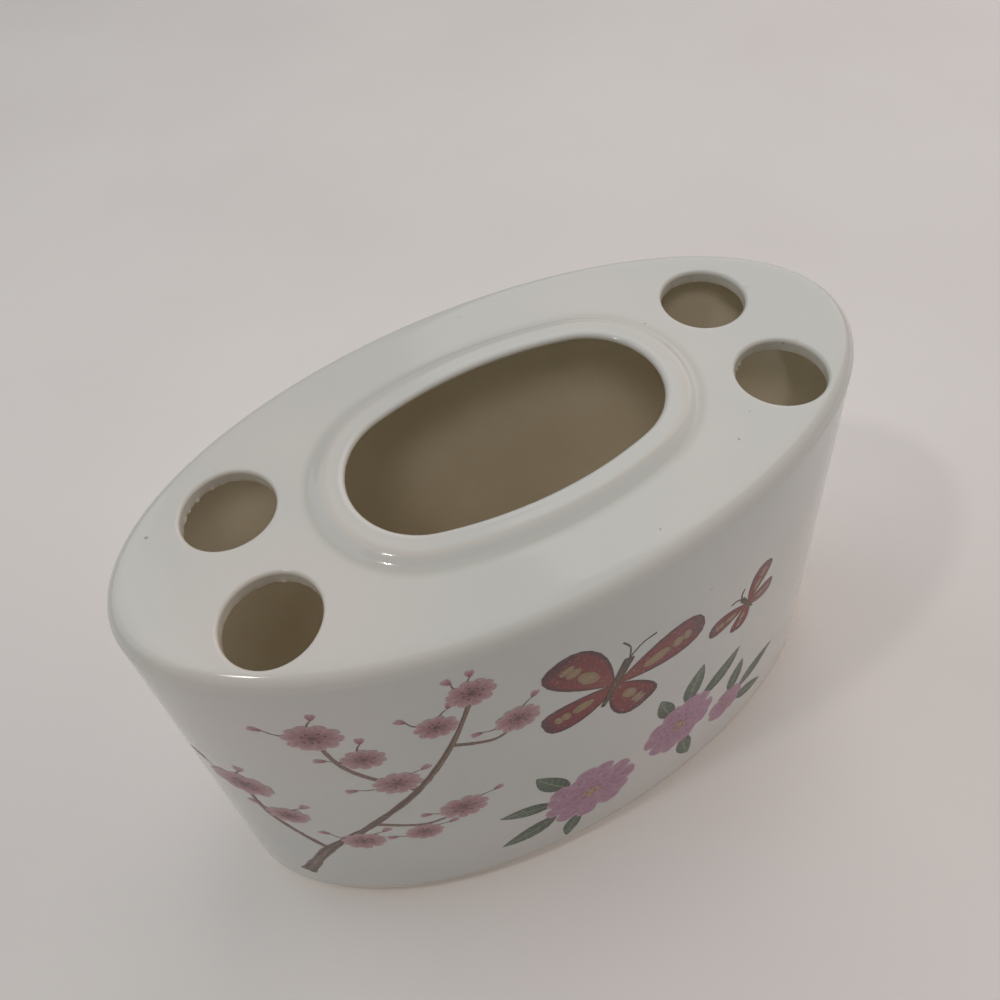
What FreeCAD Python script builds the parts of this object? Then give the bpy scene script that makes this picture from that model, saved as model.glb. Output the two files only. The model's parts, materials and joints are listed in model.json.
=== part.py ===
import FreeCAD, Part
import math
import os
import Sketcher

# Oval ceramic toothbrush holder, in millimetres, with +Z up.
# The long side runs along X, and the printed front looks towards -Y.
# The origin is the middle of the footprint, on the surface that the holder stands on.

# Driving dimensions: alias, value, what it measures
SIZES = [
    ("body_length", 176, "glazed outline along X"),
    ("body_width", 90, "glazed outline along Y"),
    ("deck_height", 112, "glazed top of the deck above the table"),
    ("shoulder_radius", 3.6, "rounding between deck and wall"),
    ("base_radius", 1.6, "rounding under the wall"),
    ("glaze_thick", 0.4, "fired glaze"),
    ("glaze_line", 3.6, "lower edge of the glaze above the table"),
    ("wall_thick", 2.6, "clay of the wall"),
    ("deck_thick", 3, "clay of the deck"),
    ("cap_depth", 9, "skirt of the deck casting below the deck's top"),
    ("seam_thick", 0.8, "slip between wall and deck casting"),
    ("floor_thick", 4, "clay of the floor"),
    ("foot_height", 1.6, "bare foot ring"),
    ("foot_width", 5, "bare foot ring"),
    ("foot_inset", 2.6, "foot ring inside the glazed outline"),
    ("cove_radius", 9, "slip cove around the floor"),
    ("cove_lip", 0.6, "least thickness of the cove"),
    ("hole_diameter", 20, "brush holes"),
    ("hole_end_land", 18, "deck between a brush hole and the end of the outline, along X"),
    ("hole_gap", 4.8, "deck between a brush hole and the foot of the rim, along X"),
    ("holes_forward", 2.6, "brush holes, punched this far in front of the middle"),
    ("rim_land", 16.5, "deck between the foot of the rim and the outline, along Y"),
    ("opening_side_radius", 88, "middle opening's long sides"),
    ("collar_height", 1.5, "rim of the middle opening above the deck"),
    ("collar_top_width", 4.8, "flat top of that rim"),
    ("collar_slope_width", 3.4, "outer slope of that rim, in plan"),
    ("rim_edge", 1.4, "upright inner edge of that rim, above its undercut"),
    ("rim_undercut", 4, "undercut below that edge, in plan"),
    ("enamel_thick", 0.12, "fired print"),
    ("flower_diameter", 26, "large printed flowers"),
    ("blossom_diameter", 11, "small printed blossoms"),
    ("leaf_length", 16, "printed leaves"),
    ("branch_width", 2.8, "printed branch at its foot"),
    ("butterfly_span", 42, "larger printed butterfly, across its wings"),
]

doc = FreeCAD.newDocument("toothbrush_holder")
sheet = doc.addObject("Spreadsheet::Sheet", "Sizes")
for row, (alias, value, meaning) in enumerate(SIZES, start=1):
    sheet.set(f"A{row}", alias)
    sheet.set(f"B{row}", str(value))
    sheet.setAlias(f"B{row}", alias)
    sheet.set(f"C{row}", meaning)
doc.recompute()


def size(alias):
    """A driving dimension as a number."""
    return float(sheet.get(alias))


# Levels above the table, as expressions on the sheet
FLOOR_TOP = "Sizes.foot_height + Sizes.floor_thick"
CLAY_TOP = "Sizes.deck_height - Sizes.glaze_thick"
DECK_UNDER = "Sizes.deck_height - Sizes.glaze_thick - Sizes.deck_thick"
CAP_BOTTOM = "Sizes.deck_height - Sizes.cap_depth"
WALL_TOP = "Sizes.deck_height - Sizes.cap_depth - Sizes.seam_thick"
RIM_TOP = "Sizes.deck_height + Sizes.collar_height"
CUTTER_BOTTOM = f"{DECK_UNDER} - Sizes.glaze_thick"

# Brush holes: set in from the ends, each midway between the middle line and the edge of the flat deck
HOLE_X = "(Sizes.body_length / 2 - Sizes.hole_end_land - Sizes.hole_diameter / 2)"
FLAT_HALF_LENGTH = "(Sizes.body_length / 2 - Sizes.shoulder_radius)"
FLAT_HALF_WIDTH = "(Sizes.body_width / 2 - Sizes.shoulder_radius)"
HOLE_Y = f"{FLAT_HALF_WIDTH} * sqrt(1 - ({HOLE_X} / {FLAT_HALF_LENGTH})^2) / 2"

# Edges no further apart than this lie at one level
SAME_LEVEL = 1e-6

# Distances inside the glazed outline
CLAY_INSET = "Sizes.glaze_thick"
INNER_INSET = "(Sizes.glaze_thick + Sizes.wall_thick)"


def origin_plane(body, role):
    """One of a body's own origin planes."""
    return next(f for f in body.Origin.OriginFeatures if f.Role == role)


def add_ellipse(sketch, inset):
    """The holder's oval outline, moved in by an inset, as a bound ellipse in a sketch."""
    index = sketch.GeometryCount
    ellipse = Part.Ellipse(FreeCAD.Vector(0, 0, 0), size("body_length") / 2, size("body_width") / 2)
    sketch.addGeometry(ellipse, False)
    sketch.exposeInternalGeometry(index)
    long_axis = index + 1
    short_axis = index + 2
    sketch.addConstraint(Sketcher.Constraint("Coincident", index, 3, -1, 1))
    sketch.addConstraint(Sketcher.Constraint("Parallel", long_axis, -1))
    for axis, alias in ((long_axis, "body_length"), (short_axis, "body_width")):
        constraint = sketch.addConstraint(Sketcher.Constraint("Distance", axis, size(alias)))
        sketch.setExpression(f"Constraints[{constraint}]", f"Sizes.{alias} - 2 * ({inset})")


def round_edges(body, name, at_level, radius):
    """Round a body's outline edges that lie at one level."""
    doc.recompute()
    base = body.Tip
    level = at_level(base.Shape.BoundBox)
    edges = []
    for i, edge in enumerate(base.Shape.Edges, start=1):
        box = edge.BoundBox
        if abs(box.ZMin - level) < SAME_LEVEL and abs(box.ZMax - level) < SAME_LEVEL:
            edges.append(f"Edge{i}")
    fillet = body.newObject("PartDesign::Fillet", name)
    fillet.Base = (base, edges)
    fillet.setExpression("Radius", radius)


def oval_body(name, insets, bottom, top, top_radius=None, bottom_radius=None):
    """An upright oval block, or a ring where two insets are given."""
    body = doc.addObject("PartDesign::Body", name)
    sketch = body.newObject("Sketcher::SketchObject", f"{name}_outline")
    sketch.AttachmentSupport = [(origin_plane(body, "XY_Plane"), "")]
    sketch.MapMode = "FlatFace"
    sketch.setExpression("AttachmentOffset.Base.z", bottom)
    for inset in insets:
        add_ellipse(sketch, inset)
    pad = body.newObject("PartDesign::Pad", f"{name}_pad")
    pad.Profile = sketch
    pad.setExpression("Length", f"({top}) - ({bottom})")
    if top_radius:
        round_edges(body, f"{name}_top_round", lambda box: box.ZMax, top_radius)
    if bottom_radius:
        round_edges(body, f"{name}_bottom_round", lambda box: box.ZMin, bottom_radius)
    return body


def oval_wire(grow, level):
    """The middle opening's outline, moved out by a margin: four arcs that meet smoothly."""
    rim_width = size("collar_top_width") + size("collar_slope_width")
    hole_land = size("hole_end_land") + size("hole_diameter") + size("hole_gap")
    half_length = size("body_length") / 2 - hole_land - rim_width + grow
    half_width = size("body_width") / 2 - size("rim_land") - rim_width + grow
    side_radius = size("opening_side_radius") + grow
    side_centre = side_radius - half_width
    crown = 2 * side_radius * half_width - half_length**2 - half_width**2
    end_radius = crown / (2 * (side_radius - half_length))
    end_centre = half_length - end_radius
    lean = math.atan2(side_centre, end_centre)
    quarters = [
        (end_centre, 0, end_radius, -lean, lean),
        (0, -side_centre, side_radius, lean, math.pi - lean),
        (-end_centre, 0, end_radius, math.pi - lean, math.pi + lean),
        (0, side_centre, side_radius, math.pi + lean, 2 * math.pi - lean),
    ]
    up = FreeCAD.Vector(0, 0, 1)
    arcs = []
    for x, y, radius, start, end in quarters:
        circle = Part.Circle(FreeCAD.Vector(x, y, level), up, radius)
        arcs.append(Part.ArcOfCircle(circle, start, end).toShape())
    return Part.Wire(arcs)


def plain_feature(name, shape):
    """A shape of the document that no sketch or primitive gives."""
    feature = doc.addObject("Part::Feature", name)
    feature.Shape = shape
    feature.Placement = FreeCAD.Placement()
    return feature


def boolean(kind, name, base, tool):
    """Part::Cut, Part::Common or Part::Fuse of two objects."""
    result = doc.addObject(kind, name)
    result.Base = base
    result.Tool = tool
    return result


def collar(name, coats):
    """The raised rim, solid right across, with its outer slope, under so many coats of glaze."""
    inset = coats * size("glaze_thick")
    foot_level = size("deck_height") - inset
    top_grow = size("collar_top_width") - inset
    foot = oval_wire(top_grow + size("collar_slope_width"), foot_level)
    top = oval_wire(top_grow, foot_level + size("collar_height"))
    return plain_feature(name, Part.makeLoft([foot, top], True, True))


def deck_cutters(name, coats):
    """The brush holes and the undercut middle opening, wider by so many coats of glaze."""
    reach = f"{RIM_TOP} + Sizes.collar_height - ({CUTTER_BOTTOM})"
    cutters = []
    for side_x in (-1, 1):
        for side_y in (-1, 1):
            hole = doc.addObject("Part::Cylinder", f"{name}_hole")
            hole.setExpression("Radius", f"Sizes.hole_diameter / 2 + {coats} * Sizes.glaze_thick")
            hole.setExpression("Height", reach)
            hole.setExpression("Placement.Base.x", f"{side_x} * {HOLE_X}")
            hole.setExpression("Placement.Base.y", f"{side_y} * {HOLE_Y} - Sizes.holes_forward")
            hole.setExpression("Placement.Base.z", CUTTER_BOTTOM)
            cutters.append(hole)
    depth = 2 * size("glaze_thick") + size("deck_thick")
    bottom = size("deck_height") - depth
    edge = coats * size("glaze_thick")
    opening = Part.Face(oval_wire(edge, bottom))
    opening = opening.extrude(FreeCAD.Vector(0, 0, depth + 2 * size("collar_height")))
    cutters.append(plain_feature(f"{name}_opening", opening))
    undercut_top = size("deck_height") + size("collar_height") - size("rim_edge")
    undercut_wires = [oval_wire(edge + size("rim_undercut"), bottom), oval_wire(edge, undercut_top)]
    cutters.append(plain_feature(f"{name}_undercut", Part.makeLoft(undercut_wires, True, True)))
    fused = doc.addObject("Part::MultiFuse", f"{name}_cutters")
    fused.Shapes = cutters
    return fused


def slab(name, bottom, top):
    """A wide flat block between two levels, which cuts a piece out of the clay."""
    box = doc.addObject("Part::Box", name)
    for side, alias, axis in (("Length", "body_length", "x"), ("Width", "body_width", "y")):
        box.setExpression(side, f"2 * Sizes.{alias}")
        box.setExpression(f"Placement.Base.{axis}", f"-Sizes.{alias}")
    box.setExpression("Height", f"({top}) - ({bottom})")
    box.setExpression("Placement.Base.z", bottom)
    return box


# Outer forms: the glazed surface, and the clay under it
glaze_block = oval_body(
    "glaze_block", ["0"], "Sizes.glaze_line", "Sizes.deck_height", "Sizes.shoulder_radius"
)
glaze_raised = boolean("Part::Fuse", "glaze_raised", glaze_block, collar("glaze_collar", 0))
glaze_form = boolean("Part::Cut", "glaze_form", glaze_raised, deck_cutters("glaze", 0))

clay_block = oval_body(
    "clay_block", [CLAY_INSET], "Sizes.foot_height", CLAY_TOP,
    f"Sizes.shoulder_radius - {CLAY_INSET}", "Sizes.base_radius",
)
clay_raised = boolean("Part::Fuse", "clay_raised", clay_block, collar("clay_collar", 1))
clay_form = boolean("Part::Cut", "clay_form", clay_raised, deck_cutters("clay", 1))
cavity = oval_body("cavity", [INNER_INSET], "0", DECK_UNDER)
clay_shell = boolean("Part::Cut", "clay_shell", clay_form, cavity)

# Clay pieces, cut from the shell at their joints
nodes = {}
LAYERS = [
    ("side_wall", "Sizes.foot_height", WALL_TOP),
    ("deck_seam", WALL_TOP, CAP_BOTTOM),
    ("brush_deck", CAP_BOTTOM, CLAY_TOP),
    ("opening_collar", CLAY_TOP, RIM_TOP),
]
for label, bottom, top in LAYERS:
    nodes[label] = boolean("Part::Common", label, clay_shell, slab(f"{label}_layer", bottom, top))

nodes["floor_slab"] = oval_body("floor_slab", [INNER_INSET], "Sizes.foot_height", FLOOR_TOP)
foot_bore = "Sizes.foot_inset + Sizes.foot_width"
nodes["foot_ring"] = oval_body("foot_ring", ["Sizes.foot_inset", foot_bore], "0", "Sizes.foot_height")

# Slip cove that rounds the corner between floor and wall
cove_reach = "Sizes.cove_radius + Sizes.cove_lip"
cove_ring = oval_body(
    "cove_ring", [INNER_INSET, f"{INNER_INSET} + {cove_reach}"], FLOOR_TOP, f"{FLOOR_TOP} + {cove_reach}"
)
cove_bowl = oval_body(
    "cove_bowl", [f"{INNER_INSET} + Sizes.cove_lip"], f"{FLOOR_TOP} + Sizes.cove_lip",
    f"{FLOOR_TOP} + 2 * ({cove_reach})", bottom_radius="Sizes.cove_radius",
)
nodes["floor_cove"] = boolean("Part::Cut", "floor_cove", cove_ring, cove_bowl)

# Glaze: everything between the two outer forms
glaze_skin = boolean("Part::Cut", "glaze_skin", glaze_form, clay_form)
nodes["glaze_coat"] = boolean("Part::Cut", "glaze_coat", glaze_skin, cavity)

# Printed front: flat outlines with x along the wall and y up it, laid onto the glaze as a thin layer
PRINT_TOP = "Sizes.deck_height - Sizes.shoulder_radius"
enamel_layer = oval_body("enamel_layer", ["-Sizes.enamel_thick", "0"], "Sizes.glaze_line", PRINT_TOP)
doc.recompute()

# Proportions of the printed motifs, each a share of the motif's own size
PETAL_NOTCH = 0.86
BLOSSOM_PETALS = 5
LEAF_HALF_WIDTH = 0.2
LEAF_FOOT = 0.4
BRANCH_TIP = 0.35
TWIG_FOOT = 0.55
TWIG_TIP = 0.25
# Butterfly: length and width, and for the wings the direction above the right-hand side
BUTTERFLY_BODY = (0.4, 0.07)
FORE_WING = (0.58, 0.3, 32)
HIND_WING = (0.42, 0.26, -38)


def spot(across, up):
    """A place on the front: a share of the half length, and a share of the straight glazed wall."""
    wall = size("deck_height") - size("shoulder_radius") - size("glaze_line")
    return FreeCAD.Vector(across * size("body_length") / 2, size("glaze_line") + up * wall, 0)


def heading(degrees, length):
    """A step of a given length in a given direction."""
    angle = math.radians(degrees)
    return FreeCAD.Vector(length * math.cos(angle), length * math.sin(angle), 0)


def rosette(centre, diameter, petals):
    """A round flower whose scalloped edge is one arc for each petal."""
    notch = PETAL_NOTCH * diameter / 2
    step = 360 / petals
    arcs = []
    for petal in range(petals):
        start = centre + heading((petal - 0.5) * step, notch)
        crown = centre + heading(petal * step, diameter / 2)
        end = centre + heading((petal + 0.5) * step, notch)
        arcs.append(Part.Arc(start, crown, end).toShape())
    return Part.Face(Part.Wire(arcs))


def leaf(foot, length, degrees):
    """A pointed leaf between two arcs, growing from its foot."""
    tip = foot + heading(degrees, length)
    middle = (foot + tip) / 2
    belly = heading(degrees + 90, LEAF_HALF_WIDTH * length)
    edges = [Part.Arc(foot, middle + belly, tip), Part.Arc(tip, middle - belly, foot)]
    return Part.Face(Part.Wire([edge.toShape() for edge in edges]))


def stroke(points, foot_width, tip_width):
    """A branch along some points, tapering from foot to tip: a four-sided run between each two points."""
    last = len(points) - 1
    left = []
    right = []
    for i, point in enumerate(points):
        along = (points[min(i + 1, last)] - points[max(i - 1, 0)]).normalize()
        half_width = (foot_width + (tip_width - foot_width) * i / last) / 2
        side = FreeCAD.Vector(-along.y, along.x, 0) * half_width
        left.append(point + side)
        right.append(point - side)
    runs = []
    for i in range(last):
        corners = [left[i], right[i], right[i + 1], left[i + 1], left[i]]
        runs.append(Part.Face(Part.makePolygon(corners)))
    return Part.makeCompound(runs)


def wing(root, length, width, degrees):
    """An oval wing that grows from a butterfly's body."""
    oval = Part.Ellipse(FreeCAD.Vector(0, 0, 0), length / 2, width / 2)
    face = Part.Face(Part.Wire(oval.toShape()))
    face.rotate(FreeCAD.Vector(0, 0, 0), FreeCAD.Vector(0, 0, 1), degrees)
    face.translate(root + heading(degrees, length / 2))
    return face


def butterfly(centre, span, tilt):
    """Two fore wings, two hind wings and the body."""
    length, width = BUTTERFLY_BODY
    tail = centre - heading(tilt + 90, length * span / 2)
    faces = [wing(tail, length * span, width * span, tilt + 90)]
    for length, width, lift in (FORE_WING, HIND_WING):
        for degrees in (lift, 180 - lift):
            faces.append(wing(centre, length * span, width * span, tilt + degrees))
    return faces


def joined(faces):
    """One flat outline from faces that overlap."""
    return faces[0].multiFuse(faces[1:]).removeSplitter()


def printed(label, outline):
    """Wrap a flat outline onto the front of the wall."""
    upright = outline.copy()
    upright.rotate(FreeCAD.Vector(0, 0, 0), FreeCAD.Vector(1, 0, 0), 90)
    pieces = []
    for face in upright.Faces:
        prism = face.extrude(FreeCAD.Vector(0, -size("body_width"), 0))
        pieces += prism.common(enamel_layer.Shape).Solids
    nodes[label] = plain_feature(label, Part.makeCompound(pieces))


# Flowers: place, size beside the largest, which has the most petals
FLOWERS = [(-0.10, 0.22, 1.0), (0.20, 0.28, 0.88), (0.39, 0.18, 0.5)]
MOST_PETALS = 11
LEAST_PETALS = 7
# Leaves: which flower, direction of growth, size beside the largest
LEAVES = [
    (0, 205, 1.0), (0, 165, 0.85), (0, 122, 0.9), (0, 250, 0.7),
    (1, 75, 0.95), (1, 40, 1.0), (1, 108, 0.75), (1, 280, 0.8),
    (2, 20, 0.9), (2, 330, 0.8), (2, 75, 0.8),
]
BRANCH = [(-0.88, 0.08), (-0.79, 0.27), (-0.66, 0.41), (-0.53, 0.55), (-0.43, 0.71), (-0.36, 0.88)]
TWIGS = [
    [(-0.79, 0.27), (-0.88, 0.43), (-0.90, 0.57)],
    [(-0.66, 0.41), (-0.54, 0.37), (-0.44, 0.40)],
    [(-0.53, 0.55), (-0.66, 0.69), (-0.70, 0.83)],
    [(-0.43, 0.71), (-0.33, 0.68), (-0.27, 0.72)],
]
# Blossoms: place, size beside the largest
BLOSSOMS = [
    (-0.36, 0.89, 0.9), (-0.45, 0.80, 0.8), (-0.27, 0.73, 0.9), (-0.70, 0.84, 1.0),
    (-0.62, 0.73, 0.8), (-0.57, 0.60, 0.9), (-0.44, 0.41, 1.0), (-0.55, 0.33, 0.75),
    (-0.90, 0.58, 0.95), (-0.84, 0.45, 0.75), (-0.70, 0.32, 0.85),
]
# Butterflies: place, span beside the larger, tilt in degrees
BUTTERFLIES = [(-0.02, 0.68, 1.0, -24), (0.42, 0.62, 0.52, 30)]

flower_spots = []
for across, up, share in FLOWERS:
    petals = max(LEAST_PETALS, round(share * MOST_PETALS))
    flower_spots.append((spot(across, up), share * size("flower_diameter"), petals))
flowers = Part.makeCompound([rosette(*place) for place in flower_spots])
blossom_faces = []
for across, up, share in BLOSSOMS:
    blossom_faces.append(rosette(spot(across, up), share * size("blossom_diameter"), BLOSSOM_PETALS))
blossoms = Part.makeCompound(blossom_faces)
leaf_faces = []
for flower, degrees, share in LEAVES:
    centre, diameter, _ = flower_spots[flower]
    foot = centre + heading(degrees, LEAF_FOOT * diameter)
    leaf_faces.append(leaf(foot, share * size("leaf_length"), degrees))
leaves = Part.makeCompound(leaf_faces).cut(flowers)
branch_width = size("branch_width")
branch = stroke([spot(*place) for place in BRANCH], branch_width, BRANCH_TIP * branch_width)
twigs = []
for twig in TWIGS:
    places = [spot(*place) for place in twig]
    twigs.append(stroke(places, TWIG_FOOT * branch_width, TWIG_TIP * branch_width).cut(branch))
wings = Part.makeCompound([
    joined(butterfly(spot(across, up), share * size("butterfly_span"), tilt))
    for across, up, share, tilt in BUTTERFLIES
])
printed("flower_enamel", flowers)
printed("leaf_enamel", leaves)
printed("branch_enamel", Part.makeCompound([branch] + twigs).cut(blossoms))
printed("blossom_enamel", blossoms)
printed("butterfly_enamel", wings)

doc.recompute()
for item in doc.Objects:
    if "Invalid" in item.State or "Error" in item.State:
        raise RuntimeError(f"{item.Name} failed: {item.State}")
for label, node in nodes.items():
    if node.Shape.isNull() or not node.Shape.isValid():
        raise RuntimeError(f"{label} has no valid shape")

os.makedirs("parts", exist_ok=True)
for label, node in nodes.items():
    node.Label = label
    node.Shape.exportStep(f"parts/{label}.step")
    print(label, len(node.Shape.Solids), "solid(s)", round(node.Shape.Volume, 1), "mm3")
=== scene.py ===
"""Oval ceramic toothbrush holder: white glaze, bare clay and a fired print over the CAD frame."""

import json
import logging
import math
import random
from dataclasses import dataclass, field
from enum import Enum
from typing import Any, Iterable, Iterator, Sequence

import bpy
from bpy.types import ID, Collection, Material, Mesh, Node, NodeSocket, NodeTree, Object
from mathutils import Matrix, Vector, noise
from mathutils.geometry import delaunay_2d_cdt

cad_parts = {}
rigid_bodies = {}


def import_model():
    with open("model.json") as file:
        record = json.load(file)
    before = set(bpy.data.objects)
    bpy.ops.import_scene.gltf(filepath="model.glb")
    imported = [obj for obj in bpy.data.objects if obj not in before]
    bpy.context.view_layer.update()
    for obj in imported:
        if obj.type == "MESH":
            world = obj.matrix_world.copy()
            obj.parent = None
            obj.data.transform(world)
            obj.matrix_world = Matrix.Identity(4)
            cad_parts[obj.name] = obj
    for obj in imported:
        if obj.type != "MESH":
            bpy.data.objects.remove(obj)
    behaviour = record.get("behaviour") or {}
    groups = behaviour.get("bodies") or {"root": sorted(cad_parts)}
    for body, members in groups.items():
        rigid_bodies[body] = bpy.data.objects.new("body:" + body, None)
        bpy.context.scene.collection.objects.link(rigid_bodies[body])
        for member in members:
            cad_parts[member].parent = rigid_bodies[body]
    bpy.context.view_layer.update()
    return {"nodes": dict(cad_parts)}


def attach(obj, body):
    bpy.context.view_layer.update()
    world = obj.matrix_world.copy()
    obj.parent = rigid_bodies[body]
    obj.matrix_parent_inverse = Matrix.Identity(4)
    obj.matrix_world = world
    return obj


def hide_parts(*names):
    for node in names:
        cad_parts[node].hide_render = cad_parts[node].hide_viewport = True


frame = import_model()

LOG = logging.getLogger("toothbrush_holder")
BODY = "root"
MM = 0.001
FULL_TURN = 2.0 * math.pi
CLAY_NODES = ("side_wall", "deck_seam", "brush_deck", "opening_collar", "floor_slab", "foot_ring",
              "floor_cove")

FLOAT = "NodeSocketFloat"
VECTOR = "NodeSocketVector"
GEOMETRY = "NodeSocketGeometry"

Flat = tuple[float, float]
Triple = tuple[float, float, float]


# Shared steps


def new_object(name: str, data: ID, collection: Collection | None = None) -> Object:
    """Makes an object and links it.

    Args:
        name: The object's name.
        data: Its mesh, light or camera.
        collection: What holds it, or None for the scene itself.

    Returns:
        The object.
    """
    thing = bpy.data.objects.new(name, data)
    home = bpy.context.scene.collection if collection is None else collection
    home.objects.link(thing)
    return thing


def add_mark(mesh: Mesh, name: str, values: Sequence[float], kind: str = "FLOAT") -> None:
    """Gives each point of a mesh a value of its own under a name."""
    mesh.attributes.new(name, kind, "POINT").data.foreach_set("value", values)


def plain_piece(source: Object, name: str) -> Object:
    """Turns an object with modifiers into a plain mesh piece and removes the source.

    Args:
        source: The object with its modifiers.
        name: The piece's name.

    Returns:
        The plain piece.
    """
    bpy.context.view_layer.update()
    graph = bpy.context.evaluated_depsgraph_get()
    mesh = bpy.data.meshes.new_from_object(source.evaluated_get(graph))
    mesh.name = name
    piece = new_object(name, mesh)
    bpy.data.objects.remove(source)
    return piece


def settle(piece: Object, slot: str, node: str | None = None) -> None:
    """Fixes a piece to the holder and logs the material slot that its finish goes in.

    Args:
        piece: The piece.
        slot: The record's material slot.
        node: The CAD node that the piece stands for, where it stands for one.
    """
    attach(piece, BODY)
    if node:
        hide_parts(node)
    LOG.info("%s: %d faces, slot %s", piece.name, len(piece.data.polygons), slot)


def swell(gap: float, width: float) -> float:
    """Makes a soft hump: 1 in its middle, and near 0 beyond twice its width."""
    return math.exp(-((gap / width) ** 2))


def scatter(number: int) -> float:
    """Spreads whole numbers over 0 to 1, so that neighbours lie apart."""
    return number * 0.618 % 1.0


def step_from(place: Flat, turn: float, reach: float) -> Flat:
    """Steps away from a place on the front, in a direction in degrees."""
    angle = math.radians(turn)
    return (place[0] + reach * math.cos(angle), place[1] + reach * math.sin(angle))


def smooth_line(points: Sequence[Flat], cuts: int) -> list[Flat]:
    """Runs a smooth line through points.

    Args:
        points: The points that the line passes through.
        cuts: How many parts each run is cut into.

    Returns:
        The points of the smooth line.
    """
    line = []
    last = len(points) - 1
    for run in range(last):
        near = (points[max(0, run - 1)], points[run], points[run + 1], points[min(last, run + 2)])
        for cut in range(cuts):
            t = cut / cuts
            weights = (-0.5 * t + t * t - 0.5 * t ** 3, 1.0 - 2.5 * t * t + 1.5 * t ** 3,
                       0.5 * t + 2.0 * t * t - 1.5 * t ** 3, -0.5 * t * t + 0.5 * t ** 3)
            line.append(tuple(sum(w * p[axis] for w, p in zip(weights, near)) for axis in (0, 1)))
    line.append(tuple(points[-1]))
    return line


# Node trees


class NodeBench:
    """Places nodes in a tree and joins them up.

    Attributes:
        tree: The node tree that is being filled.
    """

    def __init__(self, tree: NodeTree) -> None:
        """Starts on a tree."""
        self.tree = tree

    def feed(self, socket: NodeSocket, value: Any) -> None:
        """Links an output to a socket, or sets the socket's own value.

        Args:
            socket: The input to fill.
            value: An output socket, a colour or a plain value.
        """
        if isinstance(value, NodeSocket):
            self.tree.links.new(value, socket)
        elif socket.type == "RGBA":
            socket.default_value = (*value, 1.0)
        else:
            socket.default_value = value

    def add(self, kind: str, inputs: dict | None = None, **settings: Any) -> Node:
        """Places a node, sets its options and fills its inputs.

        Args:
            kind: The node's type name.
            inputs: Values or output sockets by input name or number.
            **settings: The node's own options.

        Returns:
            The new node.
        """
        node = self.tree.nodes.new(kind)
        for name, value in settings.items():
            setattr(node, name, value)
        for key, value in (inputs or {}).items():
            self.feed(node.inputs[key], value)
        return node

    def group(self, tree: NodeTree, inputs: dict) -> Node:
        """Places a shared group and fills its inputs by name."""
        kind = "ShaderNodeGroup" if tree.bl_idname == "ShaderNodeTree" else "GeometryNodeGroup"
        return self.add(kind, inputs, node_tree=tree)

    def math(self, operation: str, first: Any, second: Any = 0.0) -> NodeSocket:
        """Works out one sum of numbers or sockets."""
        return self.add("ShaderNodeMath", {0: first, 1: second}, operation=operation).outputs[0]

    def times(self, first: Any, second: Any) -> NodeSocket:
        """Multiplies two numbers or sockets."""
        return self.math("MULTIPLY", first, second)

    def rise(self, value: Any, low: float, high: float) -> NodeSocket:
        """Makes a smooth step, from 0 at the first value to 1 at the second."""
        inputs = {"Value": value, "From Min": low, "From Max": high}
        return self.add("ShaderNodeMapRange", inputs, interpolation_type="SMOOTHSTEP").outputs["Result"]

    def fall(self, value: Any, low: float, high: float) -> NodeSocket:
        """Makes a smooth step, from 1 at the first value to 0 at the second."""
        return self.math("SUBTRACT", 1.0, self.rise(value, low, high))

    def between(self, value: Any, span: Flat) -> NodeSocket:
        """Spreads a 0 to 1 value over a span."""
        inputs = {"Value": value, "To Min": span[0], "To Max": span[1]}
        return self.add("ShaderNodeMapRange", inputs).outputs["Result"]

    def blend(self, share: Any, first: Any, second: Any) -> NodeSocket:
        """Mixes two colours or sockets, by the share of the second one."""
        return self.add("ShaderNodeMix", {0: share, 6: first, 7: second}, data_type="RGBA").outputs[2]

    def cloud(self, place: Any, scale: Any, detail: float = 2.0) -> NodeSocket:
        """Makes a soft random pattern from 0 to 1, with that many patches to the metre."""
        inputs = {"Vector": place, "Scale": scale, "Detail": detail}
        return self.add("ShaderNodeTexNoise", inputs).outputs["Fac"]

    def mark(self, name: str) -> NodeSocket:
        """Reads one of the mesh's own marks."""
        return self.add("ShaderNodeAttribute", attribute_name=name).outputs["Fac"]

    def vector(self, x: Any, y: Any, z: Any) -> NodeSocket:
        """Joins three numbers or sockets into one vector."""
        return self.add("ShaderNodeCombineXYZ", {0: x, 1: y, 2: z}).outputs[0]

    def vector_math(self, operation: str, inputs: dict) -> NodeSocket:
        """Works out one sum of vectors."""
        return self.add("ShaderNodeVectorMath", inputs, operation=operation).outputs[0]


def new_group(name: str, kind: str, inputs: dict[str, str], outputs: dict[str, str]) -> NodeBench:
    """Makes an empty node group with named sockets.

    Args:
        name: The group's name.
        kind: The tree's type name.
        inputs: Socket types by input name.
        outputs: Socket types by output name.

    Returns:
        A bench on the new tree.
    """
    tree = bpy.data.node_groups.new(name, kind)
    for way, sockets in (("INPUT", inputs), ("OUTPUT", outputs)):
        for socket, socket_type in sockets.items():
            tree.interface.new_socket(socket, in_out=way, socket_type=socket_type)
    return NodeBench(tree)


def glaze_ripple_group() -> NodeTree:
    """Builds the slow ripple and the fine orange peel that a fired glaze settles into.

    Returns:
        The shader group, with outputs Height and Gloss.
    """
    inputs = {"Place": VECTOR, "Ripple": FLOAT, "Peel": FLOAT, "Peel Share": FLOAT}
    bench = new_group("glaze_ripple", "ShaderNodeTree", inputs, {"Height": FLOAT, "Gloss": FLOAT})
    given = bench.add("NodeGroupInput").outputs
    ripple = bench.cloud(given["Place"], given["Ripple"], detail=1.0)
    peel = bench.times(bench.cloud(given["Place"], given["Peel"]), given["Peel Share"])
    gloss = bench.rise(bench.cloud(given["Place"], scale=60.0, detail=4.0), 0.3, 0.75)
    bench.add("NodeGroupOutput", {"Height": bench.math("ADD", ripple, peel), "Gloss": gloss})
    return bench.tree


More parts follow.
